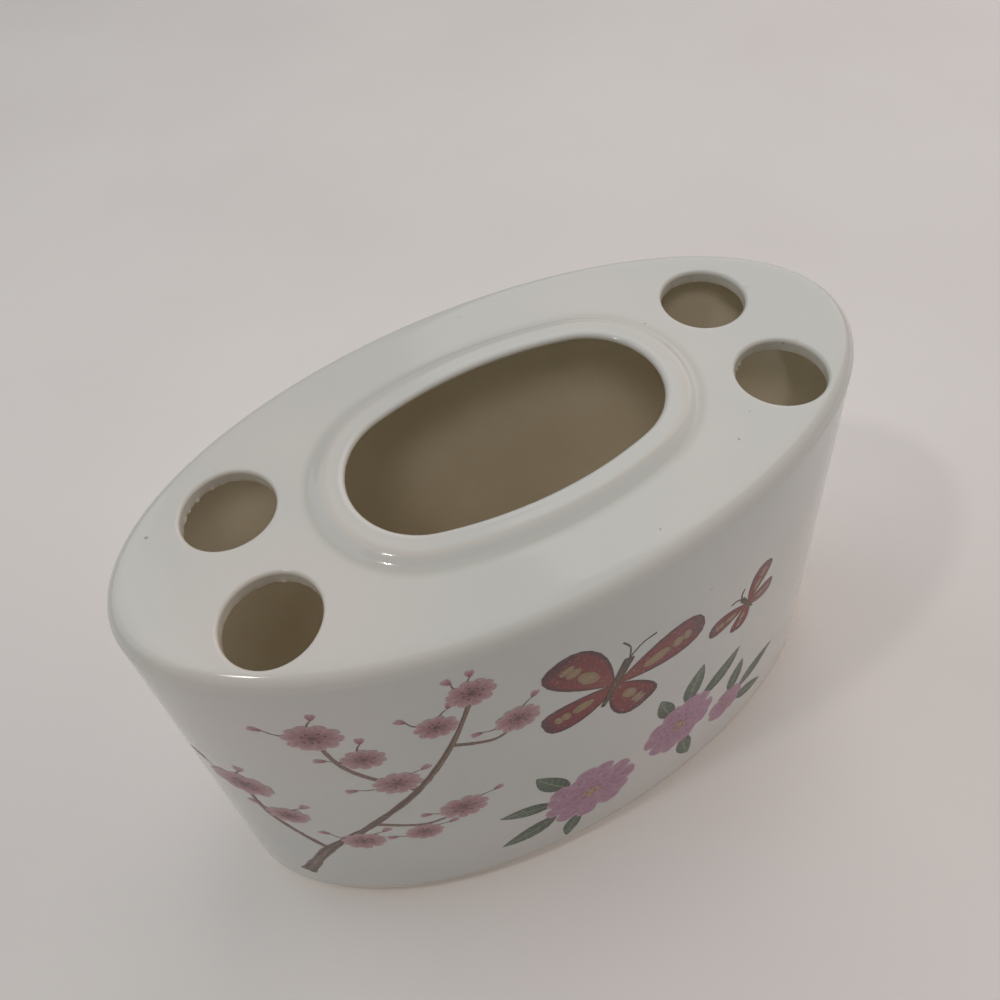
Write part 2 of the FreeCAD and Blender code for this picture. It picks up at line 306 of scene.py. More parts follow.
def kiln_speck_group() -> NodeTree:
    """Builds the small dark specks that iron in the clay burns through a glaze.

    Returns:
        The shader group, with output Mask.
    """
    inputs = {"Place": VECTOR, "Spacing": FLOAT, "Share": FLOAT}
    bench = new_group("kiln_specks", "ShaderNodeTree", inputs, {"Mask": FLOAT})
    given = bench.add("NodeGroupInput").outputs
    cells = bench.add("ShaderNodeTexVoronoi", {"Vector": given["Place"], "Scale": given["Spacing"]}).outputs
    chance = bench.add("ShaderNodeSeparateColor", {0: cells["Color"]}).outputs[0]
    picked = bench.math("LESS_THAN", chance, given["Share"])
    bench.add("NodeGroupOutput", {"Mask": bench.times(bench.fall(cells["Distance"], 0.05, 0.13), picked)})
    return bench.tree


@dataclass(frozen=True)
class Effects:
    """The shader groups that several finishes share.

    Attributes:
        ripple: The settled surface of a glaze.
        specks: The iron specks of a kiln.
    """

    ripple: NodeTree
    specks: NodeTree


class MaterialBench(NodeBench):
    """A bench on a new material with one surface shader.

    Attributes:
        material: The material.
        effects: The shared shader groups.
        shader: The surface shader.
        place: The coordinates of a point on the surface, in metres.
    """

    def __init__(self, name: str, effects: Effects) -> None:
        """Starts a material.

        Args:
            name: The material's name.
            effects: The shared shader groups.
        """
        self.material = bpy.data.materials.new(name)
        self.material.use_nodes = True
        super().__init__(self.material.node_tree)
        self.tree.nodes.clear()
        self.effects = effects
        self.shader = self.add("ShaderNodeBsdfPrincipled")
        self.add("ShaderNodeOutputMaterial", {"Surface": self.shader.outputs["BSDF"]})
        self.place = self.add("ShaderNodeTexCoord").outputs["Object"]

    def show(self, name: str, value: NodeSocket) -> None:
        """Feeds one of the shader's inputs."""
        self.feed(self.shader.inputs[name], value)

    def patches(self, scale: float, detail: float) -> NodeSocket:
        """Makes soft patches from 0 to 1."""
        return self.rise(self.cloud(self.place, scale, detail), 0.3, 0.7)

    def specks(self, spacing: float, share: float) -> NodeSocket:
        """Makes the mask of the kiln's specks, from their cells to the metre and the share that shows."""
        inputs = {"Place": self.place, "Spacing": spacing, "Share": share}
        return self.group(self.effects.specks, inputs).outputs["Mask"]

    def bump(self, height: NodeSocket, strength: float, depth: float) -> None:
        """Makes the surface uneven by a height, to a depth in metres."""
        inputs = {"Strength": strength, "Distance": depth, "Height": height}
        self.show("Normal", self.add("ShaderNodeBump", inputs).outputs["Normal"])

    def ripple(self, rough: Flat) -> None:
        """Gives the surface a fired glaze's ripple.

        Args:
            rough: The lowest and highest roughness.
        """
        inputs = {"Place": self.place, "Ripple": 45.0, "Peel": 900.0, "Peel Share": 0.12}
        settled = self.group(self.effects.ripple, inputs).outputs
        self.show("Roughness", self.between(settled["Gloss"], rough))
        self.bump(settled["Height"], strength=0.10, depth=0.6 * MM)


# Finishes


@dataclass(frozen=True)
class Finish:
    """A material that is mixed from its own colours.

    Attributes:
        name: The material's name.
    """

    name: str

    def paint(self, bench: MaterialBench) -> None:
        """Paints the surface, in each finish's own way."""
        raise NotImplementedError

    def make(self, effects: Effects) -> Material:
        """Builds the material.

        Args:
            effects: The shared shader groups.

        Returns:
            The finished material.
        """
        bench = MaterialBench(self.name, effects)
        self.paint(bench)
        return bench.material


@dataclass(frozen=True)
class GlazeFinish(Finish):
    """White glaze, cream where it runs thin on an edge and cool where it pools.

    Attributes:
        cool: The glaze's cooler patches.
        warm: The glaze's warmer patches.
        thin: What shows through on an edge.
        thin_share: How strongly that shows.
        pool: The colour of a thick pool.
        pool_share: How strongly that shows.
        speck: The colour of an iron speck.
        speck_share: How strongly a small speck shows.
        spots: The places of the few large specks, in metres.
        spot_size: The size of a large speck, in metres.
        spot_rag: How ragged its edge is, in metres.
        spot_share: How strongly a large speck shows.
        rough: The lowest and highest roughness.
    """

    name: str = "glossy_white_glaze"
    cool: Triple = (0.66, 0.68, 0.665)
    warm: Triple = (0.735, 0.71, 0.685)
    thin: Triple = (0.60, 0.50, 0.35)
    thin_share: float = 0.8
    pool: Triple = (0.53, 0.545, 0.50)
    pool_share: float = 0.55
    speck: Triple = (0.20, 0.13, 0.08)
    speck_share: float = 0.5
    spots: tuple[Triple, ...] = ((-0.0767, 0.0138, 0.112), (-0.0247, -0.0158, 0.1134))
    spot_size: float = 0.55 * MM
    spot_rag: float = 0.3 * MM
    spot_share: float = 0.55
    rough: Flat = (0.08, 0.15)

    def paint(self, bench: MaterialBench) -> None:
        """Paints the surface.

        Args:
            bench: The material's bench.
        """
        colour = bench.blend(bench.patches(scale=14.0, detail=3.0), self.cool, self.warm)
        colour = bench.blend(bench.times(bench.mark("pool"), self.pool_share), colour, self.pool)
        colour = bench.blend(bench.times(bench.mark("thin"), self.thin_share), colour, self.thin)
        mask = bench.times(bench.specks(spacing=300.0, share=0.02), self.speck_share)
        rag = bench.between(bench.cloud(bench.place, scale=2400.0), (-self.spot_rag, self.spot_rag))
        for spot in self.spots:
            gap = bench.add("ShaderNodeVectorMath", {0: bench.place, 1: spot}, operation="DISTANCE")
            edge = bench.math("ADD", gap.outputs["Value"], rag)
            near = bench.rise(edge, self.spot_size, 0.4 * self.spot_size)
            mask = bench.math("MAXIMUM", mask, bench.times(near, self.spot_share))
        bench.show("Base Color", bench.blend(mask, colour, self.speck))
        bench.ripple(self.rough)


@dataclass(frozen=True)
class ClayFinish(Finish):
    """Cream biscuit clay, as it shows inside the holder and under its foot.

    Attributes:
        pale: The clay's paler patches.
        dark: The clay's darker patches.
        speck: The colour of an iron speck.
        speck_share: How strongly a speck shows.
        rough: The lowest and highest roughness.
    """

    name: str = "cream_biscuit_clay"
    pale: Triple = (0.90, 0.83, 0.69)
    dark: Triple = (0.84, 0.765, 0.62)
    speck: Triple = (0.25, 0.17, 0.10)
    speck_share: float = 0.4
    rough: Flat = (0.55, 0.8)

    def paint(self, bench: MaterialBench) -> None:
        """Paints the surface.

        Args:
            bench: The material's bench.
        """
        colour = bench.blend(bench.patches(scale=35.0, detail=5.0), self.pale, self.dark)
        mask = bench.times(bench.specks(spacing=420.0, share=0.12), self.speck_share)
        bench.show("Base Color", bench.blend(mask, colour, self.speck))
        grain = bench.cloud(bench.place, scale=1800.0, detail=3.0)
        bench.show("Roughness", bench.between(grain, self.rough))
        bench.bump(grain, strength=0.25, depth=0.15 * MM)


@dataclass(frozen=True)
class FloorFinish(Finish):
    """The pale, slightly uneven paper that the holder stands on.

    Attributes:
        pale: The paler patches.
        dull: The duller patches.
        rough: The lowest and highest roughness.
    """

    name: str = "pale_floor"
    pale: Triple = (0.90, 0.87, 0.86)
    dull: Triple = (0.86, 0.825, 0.82)
    rough: Flat = (0.75, 0.95)

    def paint(self, bench: MaterialBench) -> None:
        """Paints the surface with patches and the fibre of paper."""
        bench.show("Base Color", bench.blend(bench.patches(scale=6.0, detail=4.0), self.pale, self.dull))
        bench.show("Roughness", bench.between(bench.cloud(bench.place, scale=700.0, detail=3.0), self.rough))


class Drawing(Enum):
    """How the lines of a painted shape run."""

    STREAKS = "streaks"
    VEINS = "veins"
    WING = "wing"
    BARK = "bark"


@dataclass(frozen=True)
class EnamelFinish(Finish):
    """Enamel fired onto the glaze, shaded by hand from a shape's root to its tip.

    Attributes:
        root: The colour where a shape starts.
        middle: The colour half way along.
        tip: The colour where it ends.
        line: The colour of the drawn lines.
        edge: The colour along its sides.
        shade: The colour that the darker shapes lean to.
        drawing: How the lines run.
        line_share: How strongly the lines show.
        edge_share: How strongly the sides show.
        shade_share: How strongly the darkest shape leans to its shade.
        worn: The colour of a worn place.
        worn_share: How strongly that shows.
        rough: The lowest and highest roughness.
    """

    root: Triple
    middle: Triple
    tip: Triple
    line: Triple
    edge: Triple
    shade: Triple
    drawing: Drawing = Drawing.STREAKS
    line_share: float = 0.5
    edge_share: float = 0.5
    shade_share: float = 0.6
    worn: Triple = (0.70, 0.66, 0.62)
    worn_share: float = 0.25
    rough: Flat = (0.24, 0.4)

    def _lines(self, bench: MaterialBench, along: NodeSocket, side: NodeSocket,
               tone: NodeSocket) -> NodeSocket:
        """Draws the lines of the shape.

        Args:
            bench: The material's bench.
            along: The share of the way from root to tip.
            side: The distance from the middle line, from 0 to 1.
            tone: The shape's own random tone.

        Returns:
            The lines' mask.
        """
        across = bench.mark("across")
        if self.drawing is Drawing.VEINS:
            veins, slant, strength = 6.0, 1.3, 0.6
            slanted = bench.math("SUBTRACT", bench.times(along, veins), bench.times(side, slant))
            vein = bench.times(bench.rise(bench.math("FRACT", slanted), 0.82, 0.93), strength)
            return bench.math("MAXIMUM", bench.fall(side, 0.03, 0.12), vein)
        if self.drawing is Drawing.WING:
            veins, strength = 7.0, 0.55
            fan = bench.math("ABSOLUTE", bench.math("SINE", bench.times(across, veins)))
            rim = bench.math("MAXIMUM", bench.rise(along, 0.84, 0.93), bench.rise(side, 0.74, 0.9))
            return bench.math("MAXIMUM", bench.times(bench.fall(fan, 0.08, 0.28), strength), rim)
        stretch = (3.2, 1.1, 40.0) if self.drawing is Drawing.STREAKS else (2.0, 14.0, 40.0)
        place = bench.vector(*[bench.times(*pair) for pair in zip((across, along, tone), stretch)])
        return bench.rise(bench.cloud(place, scale=2.0), 0.46, 0.66)

    def paint(self, bench: MaterialBench) -> None:
        """Paints the surface.

        Args:
            bench: The material's bench.
        """
        along, tone = bench.mark("along"), bench.mark("tone")
        side = bench.math("ABSOLUTE", bench.mark("across"))
        lines = self._lines(bench, along, side, tone)
        worn = bench.rise(bench.cloud(bench.place, scale=1500.0, detail=3.0), 0.56, 0.75)
        colour = bench.blend(bench.rise(along, 0.0, 0.5), self.root, self.middle)
        colour = bench.blend(bench.rise(along, 0.45, 1.0), colour, self.tip)
        layers = (
            (bench.rise(side, 0.45, 1.0), self.edge_share, self.edge),
            (lines, self.line_share, self.line),
            (tone, self.shade_share, self.shade),
            (worn, self.worn_share, self.worn),
        )
        for mask, share, over in layers:
            colour = bench.blend(bench.times(mask, share), colour, over)
        bench.show("Base Color", colour)
        bench.ripple(self.rough)


# Each enamel's colours: root, middle, tip, line, edge and shade
ENAMELS = (
    EnamelFinish("mauve_petals", (0.15, 0.028, 0.075), (0.31, 0.095, 0.20), (0.44, 0.21, 0.335),
                 (0.56, 0.34, 0.45), (0.58, 0.39, 0.49), (0.18, 0.04, 0.10)),
    EnamelFinish("tan_stamens", (0.55, 0.36, 0.12), (0.62, 0.42, 0.16), (0.68, 0.50, 0.24),
                 (0.34, 0.17, 0.06), (0.40, 0.22, 0.08), (0.36, 0.19, 0.07)),
    EnamelFinish("green_leaves", (0.030, 0.055, 0.030), (0.050, 0.095, 0.055), (0.105, 0.150, 0.085),
                 (0.32, 0.36, 0.24), (0.035, 0.060, 0.045), (0.022, 0.042, 0.034), Drawing.VEINS, 0.6),
    EnamelFinish("brown_branch", (0.16, 0.085, 0.06), (0.22, 0.125, 0.085), (0.25, 0.15, 0.10),
                 (0.40, 0.28, 0.19), (0.10, 0.05, 0.035), (0.14, 0.08, 0.06), Drawing.BARK, 0.6),
    EnamelFinish("pink_blossoms", (0.22, 0.06, 0.08), (0.41, 0.19, 0.22), (0.55, 0.35, 0.36),
                 (0.29, 0.11, 0.14), (0.60, 0.43, 0.43), (0.25, 0.10, 0.115)),
    EnamelFinish("dark_hearts", (0.09, 0.04, 0.035), (0.11, 0.05, 0.04), (0.14, 0.07, 0.05),
                 (0.20, 0.11, 0.07), (0.07, 0.03, 0.03), (0.06, 0.03, 0.025)),
    EnamelFinish("red_wings", (0.27, 0.055, 0.035), (0.24, 0.015, 0.02), (0.18, 0.012, 0.018),
                 (0.07, 0.012, 0.018), (0.22, 0.02, 0.03), (0.16, 0.015, 0.022), Drawing.WING, 0.85),
    EnamelFinish("slate_patches", (0.34, 0.21, 0.10), (0.38, 0.25, 0.13), (0.30, 0.20, 0.11),
                 (0.20, 0.15, 0.09), (0.24, 0.18, 0.11), (0.055, 0.125, 0.155)),
    EnamelFinish("dark_bodies", (0.10, 0.06, 0.03), (0.17, 0.10, 0.045), (0.08, 0.05, 0.03),
                 (0.04, 0.03, 0.02), (0.05, 0.03, 0.02), (0.03, 0.022, 0.018), Drawing.BARK, 0.7),
)


# Outlines


@dataclass(frozen=True)
class WallOutline:
    """The oval that the holder's wall follows, seen from above.

    Attributes:
        half_length: Half of the long axis, in metres.
        half_width: Half of the short axis, in metres.
        steps: Points round the oval.
    """

    half_length: float = 88.0 * MM
    half_width: float = 45.0 * MM
    steps: int = 360

    def turns(self) -> list[float]:
        """Lists the angles of the points round the oval, in radians."""
        return [FULL_TURN * step / self.steps for step in range(self.steps)]

    def point(self, turn: float, inset: float, height: float) -> Vector:
        """Finds a point on the oval, moved in along the wall's own normal.

        Args:
            turn: Angle round the oval, in radians.
            inset: How far inside the oval the point lies, in metres.
            height: The point's height, in metres.

        Returns:
            The point.
        """
        normal = Vector((math.cos(turn) / self.half_length, math.sin(turn) / self.half_width, 0.0))
        normal.normalize()
        edge = Vector((self.half_length * math.cos(turn), self.half_width * math.sin(turn), height))
        return edge - normal * inset

    def depth(self, x: float, y: float) -> float:
        """Finds how far inside the oval a point lies.

        Args:
            x: The point's place along the oval.
            y: The point's place across it.

        Returns:
            The distance to the oval, negative outside it.
        """
        long, short = self.half_length, self.half_width
        along, aside = abs(x), abs(y)
        nearest_x, nearest_y = math.sqrt(0.5), math.sqrt(0.5)
        for _ in range(5):
            bend_x = (long * long - short * short) * nearest_x ** 3 / long
            bend_y = (short * short - long * long) * nearest_y ** 3 / short
            radius = math.hypot(long * nearest_x - bend_x, short * nearest_y - bend_y)
            reach = math.hypot(along - bend_x, aside - bend_y) or 1e-9
            nearest_x = min(1.0, max(0.0, ((along - bend_x) * radius / reach + bend_x) / long))
            nearest_y = min(1.0, max(0.0, ((aside - bend_y) * radius / reach + bend_y) / short))
            size = math.hypot(nearest_x, nearest_y)
            nearest_x, nearest_y = nearest_x / size, nearest_y / size
        gap = math.hypot(along - long * nearest_x, aside - short * nearest_y)
        return gap if (x / long) ** 2 + (y / short) ** 2 < 1.0 else -gap


@dataclass(frozen=True)
class OpeningOutline:
    """The four-arc oval of the middle opening.

    Attributes:
        half_length: Half of its length, in metres.
        half_width: Half of its width, in metres.
        side_radius: The radius of its two long sides, in metres.
        end_steps: Points round each end.
        side_steps: Points along each side.
    """

    half_length: float = 37.0 * MM
    half_width: float = 20.3 * MM
    side_radius: float = 88.0 * MM
    end_steps: int = 64
    side_steps: int = 48

    @property
    def side_centre(self) -> float:
        """How far beyond the middle line the centre of a long side lies."""
        return self.side_radius - self.half_width

    @property
    def end_radius(self) -> float:
        """The radius of the round ends, which run smoothly into the sides."""
        spare = self.side_radius ** 2 - self.half_length ** 2 - self.side_centre ** 2
        return spare / (2.0 * (self.side_radius - self.half_length))

    @property
    def end_centre(self) -> float:
        """How far along the middle line the centre of an end lies."""
        return self.half_length - self.end_radius

    @property
    def lean(self) -> float:
        """The angle at which an end runs into a side."""
        return math.atan2(self.side_centre, self.end_centre)

    def ring(self, grow: float) -> list[Flat]:
        """Lists the points of the oval, moved out by the same distance all round.

        Args:
            grow: How far outside the opening's edge the points lie, in metres.

        Returns:
            The points, anticlockwise seen from above.
        """
        lean = self.lean
        arcs = (
            (self.end_centre, 0.0, self.end_radius, -lean, lean, self.end_steps),
            (0.0, -self.side_centre, self.side_radius, lean, math.pi - lean, self.side_steps),
            (-self.end_centre, 0.0, self.end_radius, math.pi - lean, math.pi + lean, self.end_steps),
            (0.0, self.side_centre, self.side_radius, math.pi + lean, FULL_TURN - lean, self.side_steps),
        )
        points = []
        for centre_x, centre_y, radius, start, stop, steps in arcs:
            for step in range(steps):
                turn = start + (stop - start) * step / steps
                points.append((centre_x + (radius + grow) * math.cos(turn),
                               centre_y + (radius + grow) * math.sin(turn)))
        return points

    def distance(self, x: float, y: float) -> float:
        """Finds how far outside the opening a point lies.

        Args:
            x: The point's place along the opening.
            y: The point's place across it.

        Returns:
            The distance to its edge, negative inside it.
        """
        along, aside = abs(x), abs(y)
        if math.atan2(aside, along - self.end_centre) < self.lean:
            return math.hypot(along - self.end_centre, aside) - self.end_radius
        return math.hypot(along, aside + self.side_centre) - self.side_radius


# The glazed body


class Sheet:
    """Collects the points and faces of one glazed surface.

    Attributes:
        points: The surface's points.
        thin: How thin the glaze runs at each point, from 0 to 1.
        pool: How thick it pools at each point, from 0 to 1.
        faces: The faces, as point numbers.
    """

    def __init__(self) -> None:
        """Starts an empty sheet."""
        self.points: list[Vector] = []
        self.thin: list[float] = []
        self.pool: list[float] = []
        self.faces: list[tuple[int, ...]] = []

    def ring(self, points: Iterable[Vector], thin: float = 0.0, pool: float = 0.0) -> list[int]:
        """Adds a row of points.

        Args:
            points: The points, in order.
            thin: How thin the glaze runs on them.
            pool: How thick it pools on them.

        Returns:
            The new points' numbers.
        """
        start = len(self.points)
        for point in points:
            self.points.append(point)
            self.thin.append(thin)
            self.pool.append(pool)
        return list(range(start, len(self.points)))

    def join(self, rings: Sequence[Sequence[int]]) -> None:
        """Joins closed rings of as many points, each to the next, with strips of faces.

        Args:
            rings: The rings, in order.
        """
        for first, second in zip(rings, rings[1:]):
            for step in range(len(first)):
                onward = (step + 1) % len(first)
                self.faces.append((first[step], first[onward], second[onward], second[step]))

    def mesh(self, name: str) -> Mesh:
        """Turns the sheet into a smooth mesh that carries its marks.

        Args:
            name: The mesh's name.

        Returns:
            The mesh.
        """
        mesh = bpy.data.meshes.new(name)
        mesh.from_pydata([tuple(point) for point in self.points], [], self.faces)
        add_mark(mesh, "thin", self.thin)
        add_mark(mesh, "pool", self.pool)
        mesh.shade_smooth()
        return mesh


@dataclass(frozen=True)
class Burr:
    """A drip or a nick in the lower edge of a brush hole.

    Attributes:
        turn: Its place round the hole, in degrees.
        spread: Its width, in degrees.
        reach: How far it stands into the hole, in metres, negative for a nick.
    """

    turn: float
    spread: float
    reach: float

    def at(self, turn: float) -> float:
        """Finds how far the burr stands in at an angle in degrees, in metres."""
        gap = (turn - self.turn + 180.0) % 360.0 - 180.0
        return self.reach * swell(gap, self.spread)


@dataclass(frozen=True)
class BrushHole:
    """One round hole for a brush, with a soft glazed edge and a rough lower one.

    Attributes:
        centre: Its middle, in metres.
        seed: What makes its edge differ from the others'.
        burrs: The drips and nicks in its lower edge.
        radius: The hole's radius, in metres.
        roll: The radius of its rounded top edge, in metres.
        roll_rings: How many steps that edge has.
        roll_thin: How thin the glaze runs at its lower end.
        drop: How far down the glaze runs, in metres.
        wobble: How far it is out of round, in two and in three waves, in metres.
        rough: How far the lower edge wanders, in broad and in fine waves, in metres.
        wall: The wall's rings: the share of the way down and how thin the glaze runs.
        rag_start: The share of the way down at which the rough edge starts.
        steps: Points round the hole.
    """

    centre: Flat
    seed: float
    burrs: tuple[Burr, ...] = ()
    radius: float = 10.0 * MM
    roll: float = 0.9 * MM
    roll_rings: int = 7
    roll_thin: float = 0.45
    drop: float = 3.4 * MM
    wobble: Flat = (0.09 * MM, 0.06 * MM)
    rough: Flat = (0.14 * MM, 0.13 * MM)
    wall: tuple[Flat, ...] = ((0.45, 0.3), (0.65, 0.45), (0.82, 0.6), (0.92, 0.75), (1.0, 0.9))
    rag_start: float = 0.55
    steps: int = 180

    def edge(self, step: float, offset: float) -> Flat:
        """Finds a point round the hole, which isn't quite round.

        Args:
            step: Which of the points.
            offset: How far outside the hole's wall it lies, in metres.

        Returns:
            The point, seen from above.
        """
        turn = FULL_TURN * step / self.steps
        two, three = self.wobble
        wobble = two * math.sin(2.0 * turn + self.seed) + three * math.sin(3.0 * turn + 2.0 * self.seed)
        reach = self.radius + wobble + offset
        return (self.centre[0] + reach * math.cos(turn), self.centre[1] + reach * math.sin(turn))

    def rag(self, step: int) -> float:
        """Finds how far the lower edge stands into the hole.

        Args:
            step: Which of the points round the hole.

        Returns:
            The distance, in metres.
        """
        turn = 360.0 * step / self.steps
        spot = Vector((math.cos(math.radians(turn)), math.sin(math.radians(turn)), self.seed))
        broad, fine = self.rough
        wander = broad * noise.noise(spot * 6.0) + fine * noise.noise(spot * 21.0)
        return wander + sum(burr.at(turn) for burr in self.burrs)


def brush_holes() -> list[BrushHole]:
    """Lists the four holes, with the drips and nicks that each one shows.

    Returns:
        The holes.
    """
    column, front, back = 60.0 * MM, -17.158 * MM, 11.958 * MM
    rims = (
        (-column, front, 0.4, ((196, 3, -0.6), (60, 4, 0.25))),
        (-column, back, 1.7, ((84, 2.5, 0.3), (99, 3, 0.4), (121, 3, 0.5), (139, 2.5, 0.45), (152, 5, 0.25))),
        (column, front, 2.9, ((116, 3, 0.45), (126, 2.5, 0.6), (135, 3, 0.5), (318, 3, -0.6))),
        (column, back, 4.1, ((92, 5, 0.25), (64, 2.5, 0.2))),
    )
    holes = []
    for x, y, seed, burrs in rims:
        edge = tuple(Burr(turn, spread, reach * MM) for turn, spread, reach in burrs)
        holes.append(BrushHole((x, y), seed, edge))
    return holes


@dataclass
class GlazedBody:
    """The white glaze over the wall, the deck, the brush holes and the opening's rim.

    Attributes:
        wall: The oval that the wall follows.
        opening: The middle opening.
        holes: The brush holes.
        glaze_line: The height at which the glaze stops above the foot, in metres.
        lip: The rings of its lower edge: rise and inset in millimetres, and how thin the glaze runs.
        lip_sway: How far that edge wanders up and down, in metres.
        wall_start: How far above the glaze line the plain wall starts, in metres.
        wall_rings: How many steps the plain wall has.
        deck_height: The deck's height, in metres.
        shoulder: The radius between wall and deck, in metres.
        shoulder_rings: How many steps the shoulder has.
        shoulder_thin: How thin the glaze runs on the shoulder.
        deck_inset: Where the wall's rings give way to the deck, in metres.
        wave: How far the deck dips where it isn't flat, in metres.
        calm: How far from the wall the deck dips fully, in metres.
        grid: The spacing of the deck's points, in metres.
        row_share: The gap between their rows, as a share of the spacing.
        edge_share: How far they stay from the deck's edges, as a share of the spacing.
        collar: The collar's section, as distance outside the opening and height, in millimetres.
        collar_pool: Where the glaze pools round the collar and how wide, in millimetres.
        collar_thin: Where it runs thin on the collar and how wide, in millimetres, and how thin.
        rim: The inner edge, where the glaze runs thin: its reach and its height, in millimetres.
        rim_thin: How thin it runs at the top of that edge, and how much thinner a millimetre below.
        coat: The glaze's thickness, in metres.
    """

    wall: WallOutline = field(default_factory=WallOutline)
    opening: OpeningOutline = field(default_factory=OpeningOutline)
    holes: list[BrushHole] = field(default_factory=brush_holes)
    glaze_line: float = 3.6 * MM
    lip: tuple[Triple, ...] = ((0.0, 0.32, 0.9), (0.25, 0.12, 0.7), (0.7, 0.02, 0.45), (1.6, 0.0, 0.2))
    lip_sway: float = 0.35 * MM
    wall_start: float = 3.2 * MM
    wall_rings: int = 12
    deck_height: float = 112.0 * MM
    shoulder: float = 3.6 * MM
    shoulder_rings: int = 10
    shoulder_thin: float = 0.14
    deck_inset: float = 2.9 * MM
    wave: float = 0.12 * MM
    calm: float = 8.0 * MM
    grid: float = 1.7 * MM
    row_share: float = 0.866
    edge_share: float = 0.55
    collar: tuple[Flat, ...] = ((10.0, 0.0), (9.0, -0.03), (7.9, -0.02), (6.9, 0.28), (6.0, 0.78), (5.2, 1.2),
                                (4.3, 1.43), (3.2, 1.45), (2.2, 1.43), (1.3, 1.47), (0.6, 1.34), (0.15, 0.95),
                                (0.0, 0.5), (0.12, 0.05), (0.9, -0.8), (2.1, -2.0), (3.5, -3.4))
    collar_pool: Flat = (8.0, 1.1)
    collar_thin: Triple = (4.6, 0.7, 0.25)
    rim: Flat = (4.0, 1.2)
    rim_thin: Flat = (0.2, 0.4)
    coat: float = 0.35 * MM

    def deck_point(self, x: float, y: float, rise: float = 0.0) -> Vector:
        """Finds a point on the deck, which dips a little here and there.

        Args:
            x: The point's place along the deck.
            y: The point's place across it.
            rise: How far above the deck it lies, in metres.

        Returns:
            The point.
        """
        depth = self.wall.depth(x, y)
        drop = 0.0
        if depth < self.shoulder:
            drop = self.shoulder - math.sqrt(self.shoulder ** 2 - (self.shoulder - depth) ** 2)
        share = 0.5 + 0.5 * noise.noise(Vector((x * 28.0, y * 28.0, 3.0)))
        dip = self.wave * min(1.0, depth / self.calm) * share
        return Vector((x, y, self.deck_height - drop - dip + rise))

    def _add_wall(self, sheet: Sheet) -> list[int]:
        """Adds the wall and the shoulder, from the glaze's lower edge upwards.

        Args:
            sheet: The sheet to fill.

        Returns:
            The ring where the deck starts.
        """
        turns = self.wall.turns()
        rings = []
        for rise, inset, thin in self.lip:
            points = []
            for turn in turns:
                sway = self.lip_sway * noise.noise(Vector((math.cos(turn) * 5.0, math.sin(turn) * 5.0, 8.0)))
                points.append(self.wall.point(turn, inset * MM, self.glaze_line + rise * MM + sway))
            rings.append(sheet.ring(points, thin))
        start = self.glaze_line + self.wall_start
        stop = self.deck_height - self.shoulder
        for step in range(self.wall_rings + 1):
            height = start + (stop - start) * step / self.wall_rings
            rings.append(sheet.ring([self.wall.point(turn, 0.0, height) for turn in turns]))
        last = math.acos(1.0 - self.deck_inset / self.shoulder)
        for step in range(1, self.shoulder_rings + 1):
            lean = last * step / self.shoulder_rings
            inset = self.shoulder * (1.0 - math.cos(lean))
            height = stop + self.shoulder * math.sin(lean)
            thin = self.shoulder_thin * math.sin(2.0 * lean)
            rings.append(sheet.ring([self.wall.point(turn, inset, height) for turn in turns], thin))
        sheet.join(rings)
        return rings[-1]

    def _add_hole(self, sheet: Sheet, hole: BrushHole) -> list[int]:
        """Adds a brush hole's rounded edge and its short glazed wall.

        Args:
            sheet: The sheet to fill.
            hole: The hole.

        Returns:
            The ring where the deck starts.
        """
        rings = []
        for step in range(hole.roll_rings + 1):
            lean = 0.5 * math.pi * (1.0 - step / hole.roll_rings)
            offset = hole.roll * (1.0 - math.cos(lean))
            sink = hole.roll * (1.0 - math.sin(lean))
            points = [self.deck_point(*hole.edge(point, offset), -sink) for point in range(hole.steps)]
            rings.append(sheet.ring(points, hole.roll_thin * step / hole.roll_rings))
        for share, thin in hole.wall:
            sink = hole.roll + (hole.drop - hole.roll) * share
            blend = max(0.0, (share - hole.rag_start) / (1.0 - hole.rag_start))
            points = []
            for point in range(hole.steps):
                rag = hole.rag(point)
                x, y = hole.edge(point, -rag * blend)
                points.append(self.deck_point(x, y, -sink + min(0.0, rag) * blend))
            rings.append(sheet.ring(points, thin))
        sheet.join(rings)
        return rings[0]

    def _add_collar(self, sheet: Sheet) -> list[int]:
        """Adds the raised collar round the opening and its short inner wall.

        Args:
            sheet: The sheet to fill.

        Returns:
            The ring where the deck starts.
        """
        rings = []
        pool_reach, pool_width = self.collar_pool
        thin_reach, thin_width, thin_share = self.collar_thin
        rim_reach, rim_height = self.rim
        for reach, rise in smooth_line(self.collar, 3):
            pool = swell(reach - pool_reach, pool_width)
            thin = thin_share * swell(reach - thin_reach, thin_width)
            if rise < rim_height and reach < rim_reach:
                thin = min(1.0, self.rim_thin[0] + self.rim_thin[1] * (rim_height - rise))
            points = [self.deck_point(x, y, rise * MM) for x, y in self.opening.ring(reach * MM)]
            rings.append(sheet.ring(points, thin, pool))
        sheet.join(rings)
        return rings[0]

    def _on_deck(self, x: float, y: float, margin: float) -> bool:
        """Says whether a point lies on the open deck.

        Args:
            x: The point's place along the deck.
            y: The point's place across it.
            margin: How far from the deck's edges it has to stay, in metres.

        Returns:
            True where the point is on the deck.
        """
        if self.wall.depth(x, y) < self.deck_inset + margin:
            return False
        if self.opening.distance(x, y) < self.collar[0][0] * MM + margin:
            return False
        for hole in self.holes:
            turn = math.atan2(y - hole.centre[1], x - hole.centre[0])
            rim = hole.edge(turn * hole.steps / FULL_TURN, hole.roll)
            if math.dist((x, y), hole.centre) < math.dist(rim, hole.centre) + margin:
                return False
        return True

